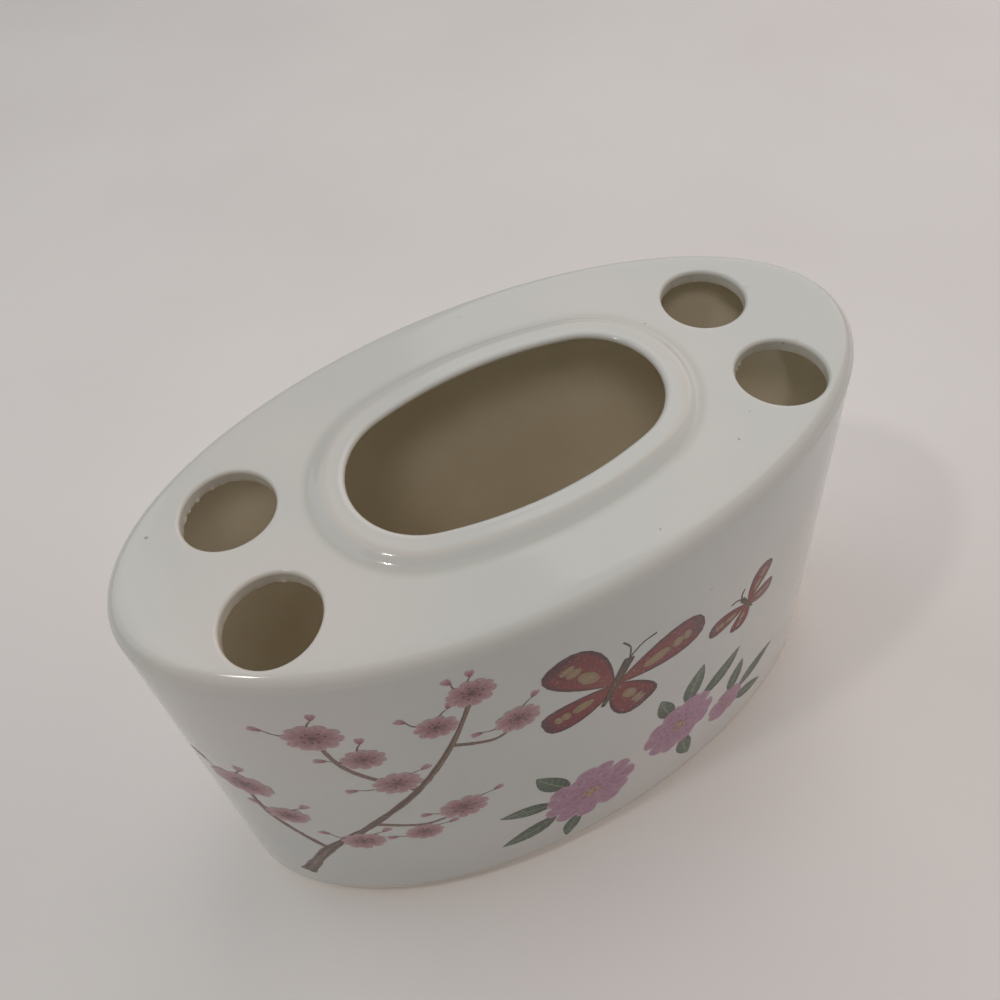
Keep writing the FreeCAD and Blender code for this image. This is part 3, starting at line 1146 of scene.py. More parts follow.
    def _fill_deck(self, sheet: Sheet, loops: Sequence[Sequence[int]]) -> None:
        """Fills the deck between its outer edge, the holes and the collar.

        Args:
            sheet: The sheet to fill.
            loops: The rings that bound the deck.
        """
        numbers = [number for loop in loops for number in loop]
        edges = []
        start = 0
        for loop in loops:
            edges += [(start + step, start + (step + 1) % len(loop)) for step in range(len(loop))]
            start += len(loop)
        row_gap = self.grid * self.row_share
        rows = int(self.wall.half_width / row_gap)
        columns = int(self.wall.half_length / self.grid)
        inner = []
        for row in range(-rows, rows + 1):
            for column in range(-columns, columns + 1):
                x, y = (column + 0.5 * (row % 2)) * self.grid, row * row_gap
                if self._on_deck(x, y, self.edge_share * self.grid):
                    inner.append(self.deck_point(x, y))
        numbers += sheet.ring(inner)
        flat = [sheet.points[number].to_2d() for number in numbers]
        _, _, triangles, sources, _, _ = delaunay_2d_cdt(flat, edges, [], 0, 1e-9)
        for triangle in triangles:
            corners = [numbers[sources[corner][0]] for corner in triangle]
            middle = sum((sheet.points[corner] for corner in corners), Vector()) / 3.0
            if self._on_deck(middle.x, middle.y, -0.01 * MM):
                sheet.faces.append(tuple(corners))

    def build(self) -> Object:
        """Builds the glaze as one closed coat.

        Returns:
            The glaze's object.
        """
        sheet = Sheet()
        loops = [self._add_wall(sheet)]
        loops += [self._add_hole(sheet, hole) for hole in self.holes]
        loops.append(self._add_collar(sheet))
        self._fill_deck(sheet, loops)
        source = new_object("glaze_sheet", sheet.mesh("glaze_sheet"))
        coat = source.modifiers.new("coat", "SOLIDIFY")
        coat.thickness = self.coat
        coat.offset = -1.0
        coat.use_even_offset = True
        return plain_piece(source, "holder_glaze")

    def dress(self, piece: Object, finish: Material) -> None:
        """Gives the glaze its finish and its place in the frame.

        Args:
            piece: The glaze's object.
            finish: The glaze's material.
        """
        piece.data.materials.clear()
        piece.data.materials.append(finish)
        settle(piece, "white_glaze", "glaze_coat")


def dress_clay(finish: Material) -> None:
    """Gives the clay nodes of the CAD model their finish.

    Args:
        finish: The clay's material.
    """
    for name in CLAY_NODES:
        node = frame["nodes"][name]
        node.data.materials.clear()
        node.data.materials.append(finish)
        LOG.info("%s: clay", name)


# Painted shapes


@dataclass(frozen=True)
class Front:
    """The printed front wall, with the print's own measure of across and up.

    Attributes:
        wall: The oval that the wall follows.
        low: The height of the lowest printed line, in metres.
        span: The height of the printed field, in metres.
    """

    wall: WallOutline = field(default_factory=WallOutline)
    low: float = 3.6 * MM
    span: float = 104.8 * MM

    def place(self, across: float, up: float) -> Flat:
        """Turns shares of the front, across and up, into metres along and up the wall."""
        return (across * self.wall.half_length, self.low + up * self.span)


@dataclass(frozen=True)
class Section:
    """One cut across a painted shape.

    Attributes:
        middle: The cut's middle, along and up the wall, in metres.
        side: The direction to its left edge.
        half_width: Half of the shape's width there, in metres.
        along: The share of the way along the shape.
    """

    middle: Flat
    side: Flat
    half_width: float
    along: float


class PaintedMesh:
    """Collects flat painted shapes as thin closed shells.

    Attributes:
        thick: The thickness of the paint, in metres.
        points: The shells' points, with the lift as their negative depth.
        faces: The faces, as point numbers.
        along: Each point's share of the way along its shape.
        across: Each point's share of the half width, from -1 to 1.
        tone: Each point's random tone.
        borders: The pairs of points that the shells' sharp edges join.
    """

    thick = 0.008 * MM

    def __init__(self) -> None:
        """Starts with no shape."""
        self.points: list[Triple] = []
        self.faces: list[tuple[int, ...]] = []
        self.along: list[float] = []
        self.across: list[float] = []
        self.tone: list[float] = []
        self.borders: set[tuple[int, int]] = set()

    def _layer(self, sections: Sequence[Section], columns: int, depth: float, tone: float) -> list[list[int]]:
        """Adds the points of one side of a shell.

        Args:
            sections: The cuts across the shape, from root to tip.
            columns: How many faces it has across.
            depth: How far the side lies off the wall, in metres.
            tone: The shape's random tone.

        Returns:
            The rows of new points, as numbers.
        """
        rows = []
        for section in sections:
            row = []
            for column in range(columns + 1):
                share = 2.0 * column / columns - 1.0
                reach = share * section.half_width
                row.append(len(self.points))
                self.points.append((section.middle[0] + section.side[0] * reach, -depth,
                                    section.middle[1] + section.side[1] * reach))
                self.along.append(section.along)
                self.across.append(share)
                self.tone.append(tone)
            rows.append(row)
        return rows

    def shell(self, sections: Sequence[Section], columns: int, lift: float, tone: float) -> None:
        """Adds one shape.

        Args:
            sections: The cuts across the shape, from root to tip.
            columns: How many faces it has across.
            lift: How far its back lies off the wall, in metres.
            tone: Its random tone.
        """
        front = self._layer(sections, columns, lift + self.thick, tone)
        back = self._layer(sections, columns, lift, tone)
        for row in range(len(sections) - 1):
            for column in range(columns):
                a, b, c, d = ((row, column), (row, column + 1), (row + 1, column + 1), (row + 1, column))
                self.faces.append(tuple(front[i][j] for i, j in (a, d, c, b)))
                self.faces.append(tuple(back[i][j] for i, j in (a, b, c, d)))
        rim_front, rim_back = self._rim(front), self._rim(back)
        for step in range(len(rim_front)):
            onward = (step + 1) % len(rim_front)
            self.faces.append((rim_front[step], rim_front[onward], rim_back[onward], rim_back[step]))
            for rim in (rim_front, rim_back):
                self.borders.add(tuple(sorted((rim[step], rim[onward]))))

    @staticmethod
    def _rim(layer: Sequence[Sequence[int]]) -> list[int]:
        """Lists the points round one side of a shell.

        Args:
            layer: The side's rows of points.

        Returns:
            The points round its edge, in order.
        """
        up = [row[-1] for row in layer]
        down = [row[0] for row in reversed(layer)]
        return list(layer[0][:-1]) + up + list(reversed(layer[-1][1:-1])) + down[:-1]

    def object(self, name: str, collection: Collection | None = None) -> Object:
        """Turns the shapes into one object with crisp edges.

        Args:
            name: The object's name.
            collection: The collection that holds it, or None for the scene itself.

        Returns:
            The object.
        """
        mesh = bpy.data.meshes.new(name)
        mesh.from_pydata(self.points, [], self.faces)
        for mark in ("along", "across", "tone"):
            add_mark(mesh, mark, getattr(self, mark))
        mesh.shade_smooth()
        for edge in mesh.edges:
            if tuple(sorted(edge.vertices)) in self.borders:
                edge.use_edge_sharp = True
        return new_object(name, mesh, collection)


@dataclass(frozen=True)
class Motif:
    """A painted shape of unit length and width that grows from its root.

    Attributes:
        name: The shape's name; a group of shapes is picked from in the order of the names.
        root: How slowly it widens from its root.
        tip: How slowly it narrows to its tip.
        bow: How far its middle line bows, as a share of the length.
        notch: How deep its tip is notched, as a share of the length.
        rows: Faces along it.
        columns: Faces across it.
    """

    name: str
    root: float
    tip: float
    bow: float = 0.0
    notch: float = 0.0
    rows: int = 7
    columns: int = 2

    def build(self, collection: Collection) -> None:
        """Builds the shape.

        Args:
            collection: The collection that holds it.
        """
        peak = self.root / (self.root + self.tip)
        widest = peak ** self.root * (1.0 - peak) ** self.tip
        sections = []
        for row in range(self.rows + 1):
            along = 0.5 - 0.5 * math.cos(math.pi * (0.04 + 0.92 * row / self.rows))
            half = 0.5 * along ** self.root * (1.0 - along) ** self.tip / widest
            bow = 4.0 * self.bow * along * (1.0 - along)
            sections.append(Section((along, bow), (0.0, 1.0), half, along))
        paint = PaintedMesh()
        paint.shell(sections, self.columns, 0.0, 0.0)
        paint.points = [(x - self.notch * along ** 5 * (1.0 - abs(share)), y, z) for (x, y, z), along, share
                        in zip(paint.points, paint.along, paint.across)]
        paint.object(self.name, collection)


@dataclass(frozen=True)
class Stamp:
    """One painted shape on the front.

    Attributes:
        place: Its root, along and up the wall, in metres.
        turn: Its direction, in degrees.
        length: Its length, in metres.
        width: Its width, in metres.
        lift: How far it lies off the wall, in metres.
        tone: Its random tone.
        kind: Which of the group's shapes it is.
    """

    place: Flat
    turn: float
    length: float
    width: float
    lift: float
    tone: float
    kind: int = 0

    @property
    def heading(self) -> float:
        """Its direction, in radians."""
        return math.radians(self.turn)


@dataclass(frozen=True)
class Stroke:
    """One painted line on the front.

    Attributes:
        points: The points that it runs through, along and up the wall, in metres.
        start: Its width where it starts, in metres.
        stop: Its width where it ends, in metres.
        lift: How far it lies off the wall, in metres.
        tone: Its random tone.
        cuts: How many parts each run is cut into.
        uneven: How much its width varies, as a share.
    """

    points: tuple[Flat, ...]
    start: float
    stop: float
    lift: float
    tone: float
    cuts: int = 5
    uneven: float = 0.0

    def sections(self) -> list[Section]:
        """Cuts the line into sections.

        Returns:
            The sections, from start to end.
        """
        line = smooth_line(self.points, self.cuts)
        last = len(line) - 1
        cuts = []
        for number, point in enumerate(line):
            before, after = line[max(0, number - 1)], line[min(last, number + 1)]
            run = Vector((after[0] - before[0], after[1] - before[1])).normalized()
            share = number / last
            sway = noise.noise(Vector((point[0] * 400.0, point[1] * 400.0, self.tone * 9.0)))
            width = (self.start + (self.stop - self.start) * share) * (1.0 + self.uneven * sway)
            cuts.append(Section(point, (-run.y, run.x), 0.5 * width, share))
        return cuts


class PrintPress:
    """Lays painted shapes and lines on the front wall with Geometry Nodes.

    Attributes:
        marks: What each stamp's point tells the tree, with the type of value.
        sizes: The wall's sizes, which every tree takes.
        wrap: The tree that bends flat shapes round the wall.
        stroke_tree: The tree that lays drawn lines.
        stamp_tree: The tree that repeats a group of shapes.
    """

    marks = {"heading": "FLOAT", "length": "FLOAT", "width": "FLOAT", "tone": "FLOAT", "kind": "INT"}

    def __init__(self, wall: WallOutline) -> None:
        """Builds the trees.

        Args:
            wall: The oval that the wall follows.
        """
        self.sizes = {"Half Length": wall.half_length, "Half Width": wall.half_width}
        self.wrap = self._wrap_tree()
        self.stroke_tree = self._stroke_tree()
        self.stamp_tree = self._stamp_tree()

    def _new_tree(self, name: str, more: dict[str, str]) -> NodeBench:
        """Makes an empty tree that takes geometry, the wall's sizes and its own inputs."""
        inputs = {"Geometry": GEOMETRY, **dict.fromkeys(self.sizes, FLOAT), **more}
        return new_group(name, "GeometryNodeTree", inputs, {"Geometry": GEOMETRY})

    def _wrap_tree(self) -> NodeTree:
        """Builds the tree that bends flat shapes round the oval wall.

        Returns:
            The tree.
        """
        bench = self._new_tree("wrap_on_wall", {})
        given = bench.add("NodeGroupInput").outputs
        position = bench.add("GeometryNodeInputPosition").outputs[0]
        flat = bench.add("ShaderNodeSeparateXYZ", {0: position}).outputs
        share = bench.math("DIVIDE", flat["X"], given["Half Length"])
        rest = bench.math("SUBTRACT", 1.0, bench.times(share, share))
        root = bench.math("SQRT", bench.math("MAXIMUM", rest, 0.0001))
        back = bench.times(bench.times(root, given["Half Width"]), -1.0)
        on_wall = bench.vector(flat["X"], back, flat["Z"])
        lean_x = bench.math("DIVIDE", share, given["Half Length"])
        lean_y = bench.math("DIVIDE", bench.times(root, -1.0), given["Half Width"])
        normal = bench.vector_math("NORMALIZE", {0: bench.vector(lean_x, lean_y, 0.0)})
        raised = bench.vector_math("SCALE", {0: normal, "Scale": bench.times(flat["Y"], -1.0)})
        place = bench.vector_math("ADD", {0: on_wall, 1: raised})
        moved = bench.add("GeometryNodeSetPosition", {"Geometry": given["Geometry"], "Position": place})
        bench.add("NodeGroupOutput", {"Geometry": moved.outputs[0]})
        return bench.tree

    def _finish_tree(self, bench: NodeBench, shapes: NodeSocket) -> NodeTree:
        """Ends a tree: real geometry, bent round the wall, in its finish.

        Args:
            bench: The tree's bench.
            shapes: The flat shapes.

        Returns:
            The tree.
        """
        given = bench.add("NodeGroupInput").outputs
        real = bench.add("GeometryNodeRealizeInstances", {"Geometry": shapes}).outputs[0]
        wrapped = bench.group(self.wrap, {"Geometry": real, **{size: given[size] for size in self.sizes}})
        inputs = {"Geometry": wrapped.outputs[0], "Material": given["Finish"]}
        bench.add("NodeGroupOutput", {"Geometry": bench.add("GeometryNodeSetMaterial", inputs).outputs[0]})
        return bench.tree

    def _stroke_tree(self) -> NodeTree:
        """Builds the tree that lays drawn lines."""
        bench = self._new_tree("lay_strokes", {"Finish": "NodeSocketMaterial"})
        return self._finish_tree(bench, bench.add("NodeGroupInput").outputs["Geometry"])

    def _stamp_tree(self) -> NodeTree:
        """Builds the tree that repeats a group of shapes.

        Returns:
            The tree.
        """
        sockets = {"Motifs": "NodeSocketCollection", "Finish": "NodeSocketMaterial"}
        bench = self._new_tree("lay_stamps", sockets)
        given = bench.add("NodeGroupInput").outputs
        motifs = bench.add("GeometryNodeCollectionInfo", {"Collection": given["Motifs"],
                                                          "Separate Children": True, "Reset Children": True})
        told = {}
        for name, kind in self.marks.items():
            if name != "tone":
                reader = bench.add("GeometryNodeInputNamedAttribute", {"Name": name}, data_type=kind)
                told[name] = reader.outputs[0]
        euler = bench.vector(0.0, bench.times(told["heading"], -1.0), 0.0)
        rotation = bench.add("FunctionNodeEulerToRotation", {0: euler}).outputs[0]
        size = bench.vector(told["length"], 1.0, told["width"])
        placed = bench.add("GeometryNodeInstanceOnPoints", {
            "Points": given["Geometry"], "Instance": motifs.outputs[0], "Pick Instance": True,
            "Instance Index": told["kind"], "Rotation": rotation, "Scale": size})
        return self._finish_tree(bench, placed.outputs[0])

    def _run(self, source: Object, tree: NodeTree, name: str, values: dict) -> Object:
        """Runs a tree on an object.

        Args:
            source: The points or the flat lines.
            tree: The tree to run.
            name: The piece's name.
            values: The tree's own inputs by name.

        Returns:
            The printed piece.
        """
        modifier = source.modifiers.new("print", "NODES")
        modifier.node_group = tree
        wanted = {**self.sizes, **values}
        for socket in tree.interface.items_tree:
            if socket.in_out == "INPUT" and socket.name in wanted:
                modifier[socket.identifier] = wanted[socket.name]
        piece = plain_piece(source, name)
        carried = piece.data.attributes
        for spent in self.marks:
            if spent != "tone" and spent in carried:
                carried.remove(carried[spent])
        return piece

    def stamps(self, name: str, stamps: Iterable[Stamp], motifs: Sequence[Motif], finish: Material) -> Object:
        """Prints repeated shapes.

        Args:
            name: The piece's name.
            stamps: Where each shape goes.
            motifs: The shapes, in the order of their names.
            finish: The print's material.

        Returns:
            The printed piece.
        """
        stamps = list(stamps)
        collection = bpy.data.collections.new(name + "_motifs")
        for motif in motifs:
            motif.build(collection)
        mesh = bpy.data.meshes.new(name + "_points")
        mesh.from_pydata([(stamp.place[0], -stamp.lift, stamp.place[1]) for stamp in stamps], [], [])
        for mark, kind in self.marks.items():
            add_mark(mesh, mark, [getattr(stamp, mark) for stamp in stamps], kind)
        source = new_object(name + "_points", mesh)
        piece = self._run(source, self.stamp_tree, name, {"Motifs": collection, "Finish": finish})
        for motif in list(collection.objects):
            bpy.data.objects.remove(motif)
        bpy.data.collections.remove(collection)
        return piece

    def strokes(self, name: str, strokes: Iterable[Stroke], finish: Material) -> Object:
        """Prints drawn lines.

        Args:
            name: The piece's name.
            strokes: The lines.
            finish: The print's material.

        Returns:
            The printed piece.
        """
        paint = PaintedMesh()
        for stroke in strokes:
            paint.shell(stroke.sections(), 2, stroke.lift, stroke.tone)
        return self._run(paint.object(name + "_lines"), self.stroke_tree, name, {"Finish": finish})


# The print


@dataclass
class FlowerPrint:
    """The three many-petalled flowers low on the front, with their leaves.

    Attributes:
        front: The printed front wall.
        flowers: Each flower's place across and up, and its share of the full size.
        petals: How many outer petals each flower has.
        diameter: The full flower's diameter, in metres.
        layers: Each layer of petals: its reach and its share of the petals.
        layer_turn: How far each layer is turned from the one under it, in degrees.
        petal_lift: How far the lowest petals lie off the wall, each next layer, and the spread in a layer.
        petal_foot: Where a petal starts, as a share of its layer's reach.
        petal_overlap: How far a petal is wider than its place in the layer.
        stamens: Each ring of a heart's dots: how many, how far out as a share, and the first one's direction.
        stamen_size: A dot's size, as a share of the diameter.
        leaves: Each leaf's flower, direction in degrees and share of the full length.
        leaf_length: The full leaf's length, in metres.
        leaf_foot: Where a leaf starts, as a share of its flower's diameter.
        leaf_width: A leaf's width, as a share of its length.
    """

    front: Front
    flowers: tuple[Triple, ...] = ((-0.10, 0.22, 1.0), (0.20, 0.28, 0.88), (0.39, 0.18, 0.5))
    petals: tuple[int, ...] = (11, 10, 7)
    diameter: float = 26.0 * MM
    layers: tuple[Flat, ...] = ((1.0, 1.0), (0.84, 0.8), (0.66, 0.75), (0.48, 0.6), (0.32, 0.5))
    layer_turn: float = 23.0
    petal_lift: Triple = (0.03 * MM, 0.012 * MM, 0.004 * MM)
    petal_foot: float = 0.18
    petal_overlap: float = 1.55
    stamens: tuple[tuple[int, float, float], ...] = ((4, 0.02, 0.0), (8, 0.065, 180.0))
    stamen_size: float = 0.042
    leaves: tuple[tuple[int, float, float], ...] = (
        (0, 205, 1.0), (0, 165, 0.85), (0, 122, 0.9), (0, 250, 0.7), (1, 75, 0.95), (1, 40, 1.0),
        (1, 108, 0.75), (1, 280, 0.8), (2, 20, 0.9), (2, 330, 0.8), (2, 75, 0.8))
    leaf_length: float = 16.0 * MM
    leaf_foot: float = 0.4
    leaf_width: float = 0.4

    def _places(self) -> list[tuple[Flat, float]]:
        """Lists each flower's middle and diameter, in metres."""
        return [(self.front.place(across, up), self.diameter * share) for across, up, share in self.flowers]

    def petal_stamps(self) -> Iterator[Stamp]:
        """Lays out the petals of all the flowers.

        Yields:
            The petals, outer layers first.
        """
        chance = random.Random(11)
        low, layer_step, spread = self.petal_lift
        for (centre, size), count in zip(self._places(), self.petals):
            for layer, (reach, part) in enumerate(self.layers):
                number = max(5, round(count * part))
                rim = 0.5 * size * reach
                foot = self.petal_foot * rim
                for petal in range(number):
                    turn = 360.0 * petal / number + self.layer_turn * layer + chance.uniform(-6.0, 6.0)
                    length = rim * chance.uniform(0.93, 1.0) - foot
                    width = self.petal_overlap * math.pi * rim / number * chance.uniform(0.9, 1.1)
                    lift = low + layer_step * layer + spread * scatter(petal)
                    tone = min(1.0, 0.1 + 0.17 * layer + chance.uniform(-0.1, 0.2))
                    yield Stamp(step_from(centre, turn, foot), turn, length, width, lift, tone)

    def stamen_stamps(self) -> Iterator[Stamp]:
        """Lays out the yellow dots in the flowers' hearts.

        Yields:
            The dots, inner rings first.
        """
        chance = random.Random(12)
        for centre, diameter in self._places():
            size = self.stamen_size * diameter
            for count, share, first in self.stamens:
                for dot in range(count):
                    reach = diameter * share * chance.uniform(0.8, 1.2)
                    spot = step_from(centre, first + 360.0 * dot / count, reach)
                    yield Stamp(spot, chance.uniform(0.0, 360.0), size, size, lift=0.096 * MM,
                                tone=chance.random())

    def leaf_stamps(self) -> Iterator[Stamp]:
        """Lays out the leaves round the flowers.

        Yields:
            The leaves.
        """
        chance = random.Random(13)
        places = self._places()
        for number, (flower, turn, share) in enumerate(self.leaves):
            centre, size = places[flower]
            length = self.leaf_length * share
            lift = 0.006 * MM + 0.0015 * MM * number
            foot = step_from(centre, turn, self.leaf_foot * size)
            yield Stamp(foot, turn, length, self.leaf_width * length, lift, chance.random(), number % 2)

    def build(self, press: PrintPress, enamels: dict[str, Material]) -> None:
        """Prints the flowers and their leaves, and fixes them to the holder.

        Args:
            press: What lays the print on the wall.
            enamels: The print's materials by name.
        """
        petals = press.stamps("flower_petals", self.petal_stamps(), [Motif("petal", 0.75, 0.28)],
                              enamels["mauve_petals"])
        settle(petals, "mauve_enamel", "flower_enamel")
        dots = press.stamps("flower_stamens", self.stamen_stamps(), [Motif("dot", 0.5, 0.5, rows=5)],
                            enamels["tan_stamens"])
        settle(dots, "mauve_enamel")
        shapes = [Motif("leaf_a", 0.7, 0.95, bow=0.1, rows=9), Motif("leaf_b", 0.7, 0.95, bow=-0.1, rows=9)]
        leaves = press.stamps("printed_leaves", self.leaf_stamps(), shapes, enamels["green_leaves"])
        settle(leaves, "green_enamel", "leaf_enamel")


@dataclass
class BranchPrint:
    """The blossoming branch on the left of the front.

    Attributes:
        front: The printed front wall.
        branch: The branch's points, across and up.
        twigs: Each twig's points.
        blossoms: Each blossom's place across and up, and its share of the full size.
        width: The branch's width at its foot, in metres.
        tip: The branch's width at its tip, as a share.
        twig_foot: A twig's width where it starts, as a share.
        twig_tip: A twig's width where it ends, as a share.
        blossom: The full blossom's diameter, in metres.
        petals: How many petals a blossom has.
        bud: A bud's length and width, in metres.
        dots: How many dots stand round a blossom's heart.
    """

    front: Front
    branch: tuple[Flat, ...] = ((-0.88, 0.08), (-0.79, 0.27), (-0.66, 0.41), (-0.53, 0.55), (-0.43, 0.71),
                                (-0.36, 0.88))
    twigs: tuple[tuple[Flat, ...], ...] = (
        ((-0.79, 0.27), (-0.88, 0.43), (-0.90, 0.57)), ((-0.66, 0.41), (-0.54, 0.37), (-0.44, 0.40)),
        ((-0.53, 0.55), (-0.66, 0.69), (-0.70, 0.83)), ((-0.43, 0.71), (-0.33, 0.68), (-0.27, 0.72)))
    blossoms: tuple[Triple, ...] = (
        (-0.36, 0.89, 0.9), (-0.45, 0.80, 0.8), (-0.27, 0.73, 0.9), (-0.70, 0.84, 1.0), (-0.62, 0.73, 0.8),
        (-0.57, 0.60, 0.9), (-0.44, 0.41, 1.0), (-0.55, 0.33, 0.75), (-0.90, 0.58, 0.95), (-0.84, 0.45, 0.75),
        (-0.70, 0.32, 0.85))
    width: float = 2.8 * MM
    tip: float = 0.35
    twig_foot: float = 0.55
    twig_tip: float = 0.25
    blossom: float = 11.0 * MM
    petals: int = 5
    bud: Flat = (2.6 * MM, 1.9 * MM)
    dots: int = 7

    def _places(self) -> list[tuple[Flat, float]]:
        """Lists each blossom's middle and diameter, in metres."""
        return [(self.front.place(across, up), self.blossom * share) for across, up, share in self.blossoms]

    def strokes(self) -> Iterator[Stroke]:
        """Lays out the branch, its twigs and the stems of its buds.

        Yields:
            The lines.
        """
        place = self.front.place
        yield Stroke(tuple(place(*point) for point in self.branch), self.width, self.tip * self.width,
                     lift=0.012 * MM, tone=0.3, cuts=9, uneven=0.35)
        for number, twig in enumerate(self.twigs):
            yield Stroke(tuple(place(*point) for point in twig), self.twig_foot * self.width,
                         self.twig_tip * self.width, lift=0.006 * MM, tone=0.2 + 0.15 * number,
                         cuts=8, uneven=0.3)
        for bud in self.bud_stamps():
            root = step_from(bud.place, bud.turn + 165.0, 3.2 * MM)
            bend = step_from(root, bud.turn - 8.0, 1.8 * MM)
            yield Stroke((root, bend, bud.place), start=0.5 * MM, stop=0.3 * MM, lift=0.004 * MM,
                         tone=bud.tone, cuts=4)

    def bark_strokes(self) -> Iterator[Stroke]:
        """Lays out the dark lines drawn along the branch.

        Yields:
            The lines.
        """
        points = [self.front.place(*point) for point in self.branch]
        for number, offset in enumerate((-0.3, 0.02, 0.3)):
            shifted = []
            for point_number, (x, z) in enumerate(points):
                taper = 1.0 - (1.0 - self.tip) * point_number / (len(points) - 1)
                shifted.append((x + 0.7 * offset * self.width * taper, z - 0.6 * offset * self.width * taper))
            chosen = tuple(shifted[number % 2:len(shifted) - number])
            yield Stroke(chosen, start=0.5 * MM, stop=0.2 * MM, lift=0.024 * MM, tone=0.5 + 0.2 * number,
                         cuts=9, uneven=0.5)

    def petal_stamps(self) -> Iterator[Stamp]:
        """Lays out the petals of the blossoms.

        Yields:
            The petals.
        """
        chance = random.Random(21)
        share = 360.0 / self.petals
        for centre, diameter in self._places():
            size = 0.5 * diameter
            first = chance.uniform(0.0, share)
            for petal in range(self.petals):
                turn = first + share * petal + chance.uniform(-5.0, 5.0)
                width = 0.98 * size * chance.uniform(0.9, 1.08)
                lift = 0.045 * MM + 0.004 * MM * scatter(petal)
                yield Stamp(step_from(centre, turn, 0.08 * size), turn, 0.92 * size, width, lift,
                            chance.uniform(0.0, 0.7))

    def bud_stamps(self) -> Iterator[Stamp]:
        """Lays out the closed buds beside the blossoms.

        Yields:
            The buds.
        """
        chance = random.Random(22)
        for centre, diameter in self._places():
            for turn in (chance.uniform(20.0, 90.0), chance.uniform(110.0, 190.0)):
                spot = step_from(centre, turn, diameter * chance.uniform(0.62, 0.8))
                yield Stamp(spot, turn, *self.bud, lift=0.04 * MM, tone=chance.uniform(0.3, 0.9))

    def heart_stamps(self) -> Iterator[Stamp]:
        """Lays out the dark hearts of the blossoms and the dots round them.

        Yields:
            The dots.
        """
        chance = random.Random(23)
        lift = 0.06 * MM
        for centre, diameter in self._places():
            heart, dot_size = 0.14 * diameter, 0.06 * diameter
            yield Stamp(step_from(centre, 180.0, 0.5 * heart), 0.0, heart, heart, lift, tone=0.9)
            for dot in range(self.dots):
                spot = step_from(centre, 360.0 * dot / self.dots + chance.uniform(-10, 10), 0.2 * diameter)
                yield Stamp(spot, chance.uniform(0, 360), dot_size, dot_size, lift, chance.uniform(0.0, 0.4))

    def build(self, press: PrintPress, enamels: dict[str, Material]) -> None:
        """Prints the branch and its blossoms, and fixes them to the holder.

        Args:
            press: What lays the print on the wall.
            enamels: The print's materials by name.
        """
        branch = press.strokes("printed_branch", self.strokes(), enamels["brown_branch"])
        settle(branch, "brown_enamel", "branch_enamel")
        settle(press.strokes("bark_lines", self.bark_strokes(), enamels["dark_hearts"]), "brown_enamel")
        petals = press.stamps("blossom_petals", [*self.petal_stamps(), *self.bud_stamps()],
                              [Motif("petal", 0.65, 0.3, notch=0.16, columns=4)], enamels["pink_blossoms"])
        settle(petals, "pink_enamel", "blossom_enamel")
        dots = press.stamps("blossom_hearts", self.heart_stamps(), [Motif("dot", 0.5, 0.5, rows=5)],
                            enamels["dark_hearts"])
        settle(dots, "pink_enamel")


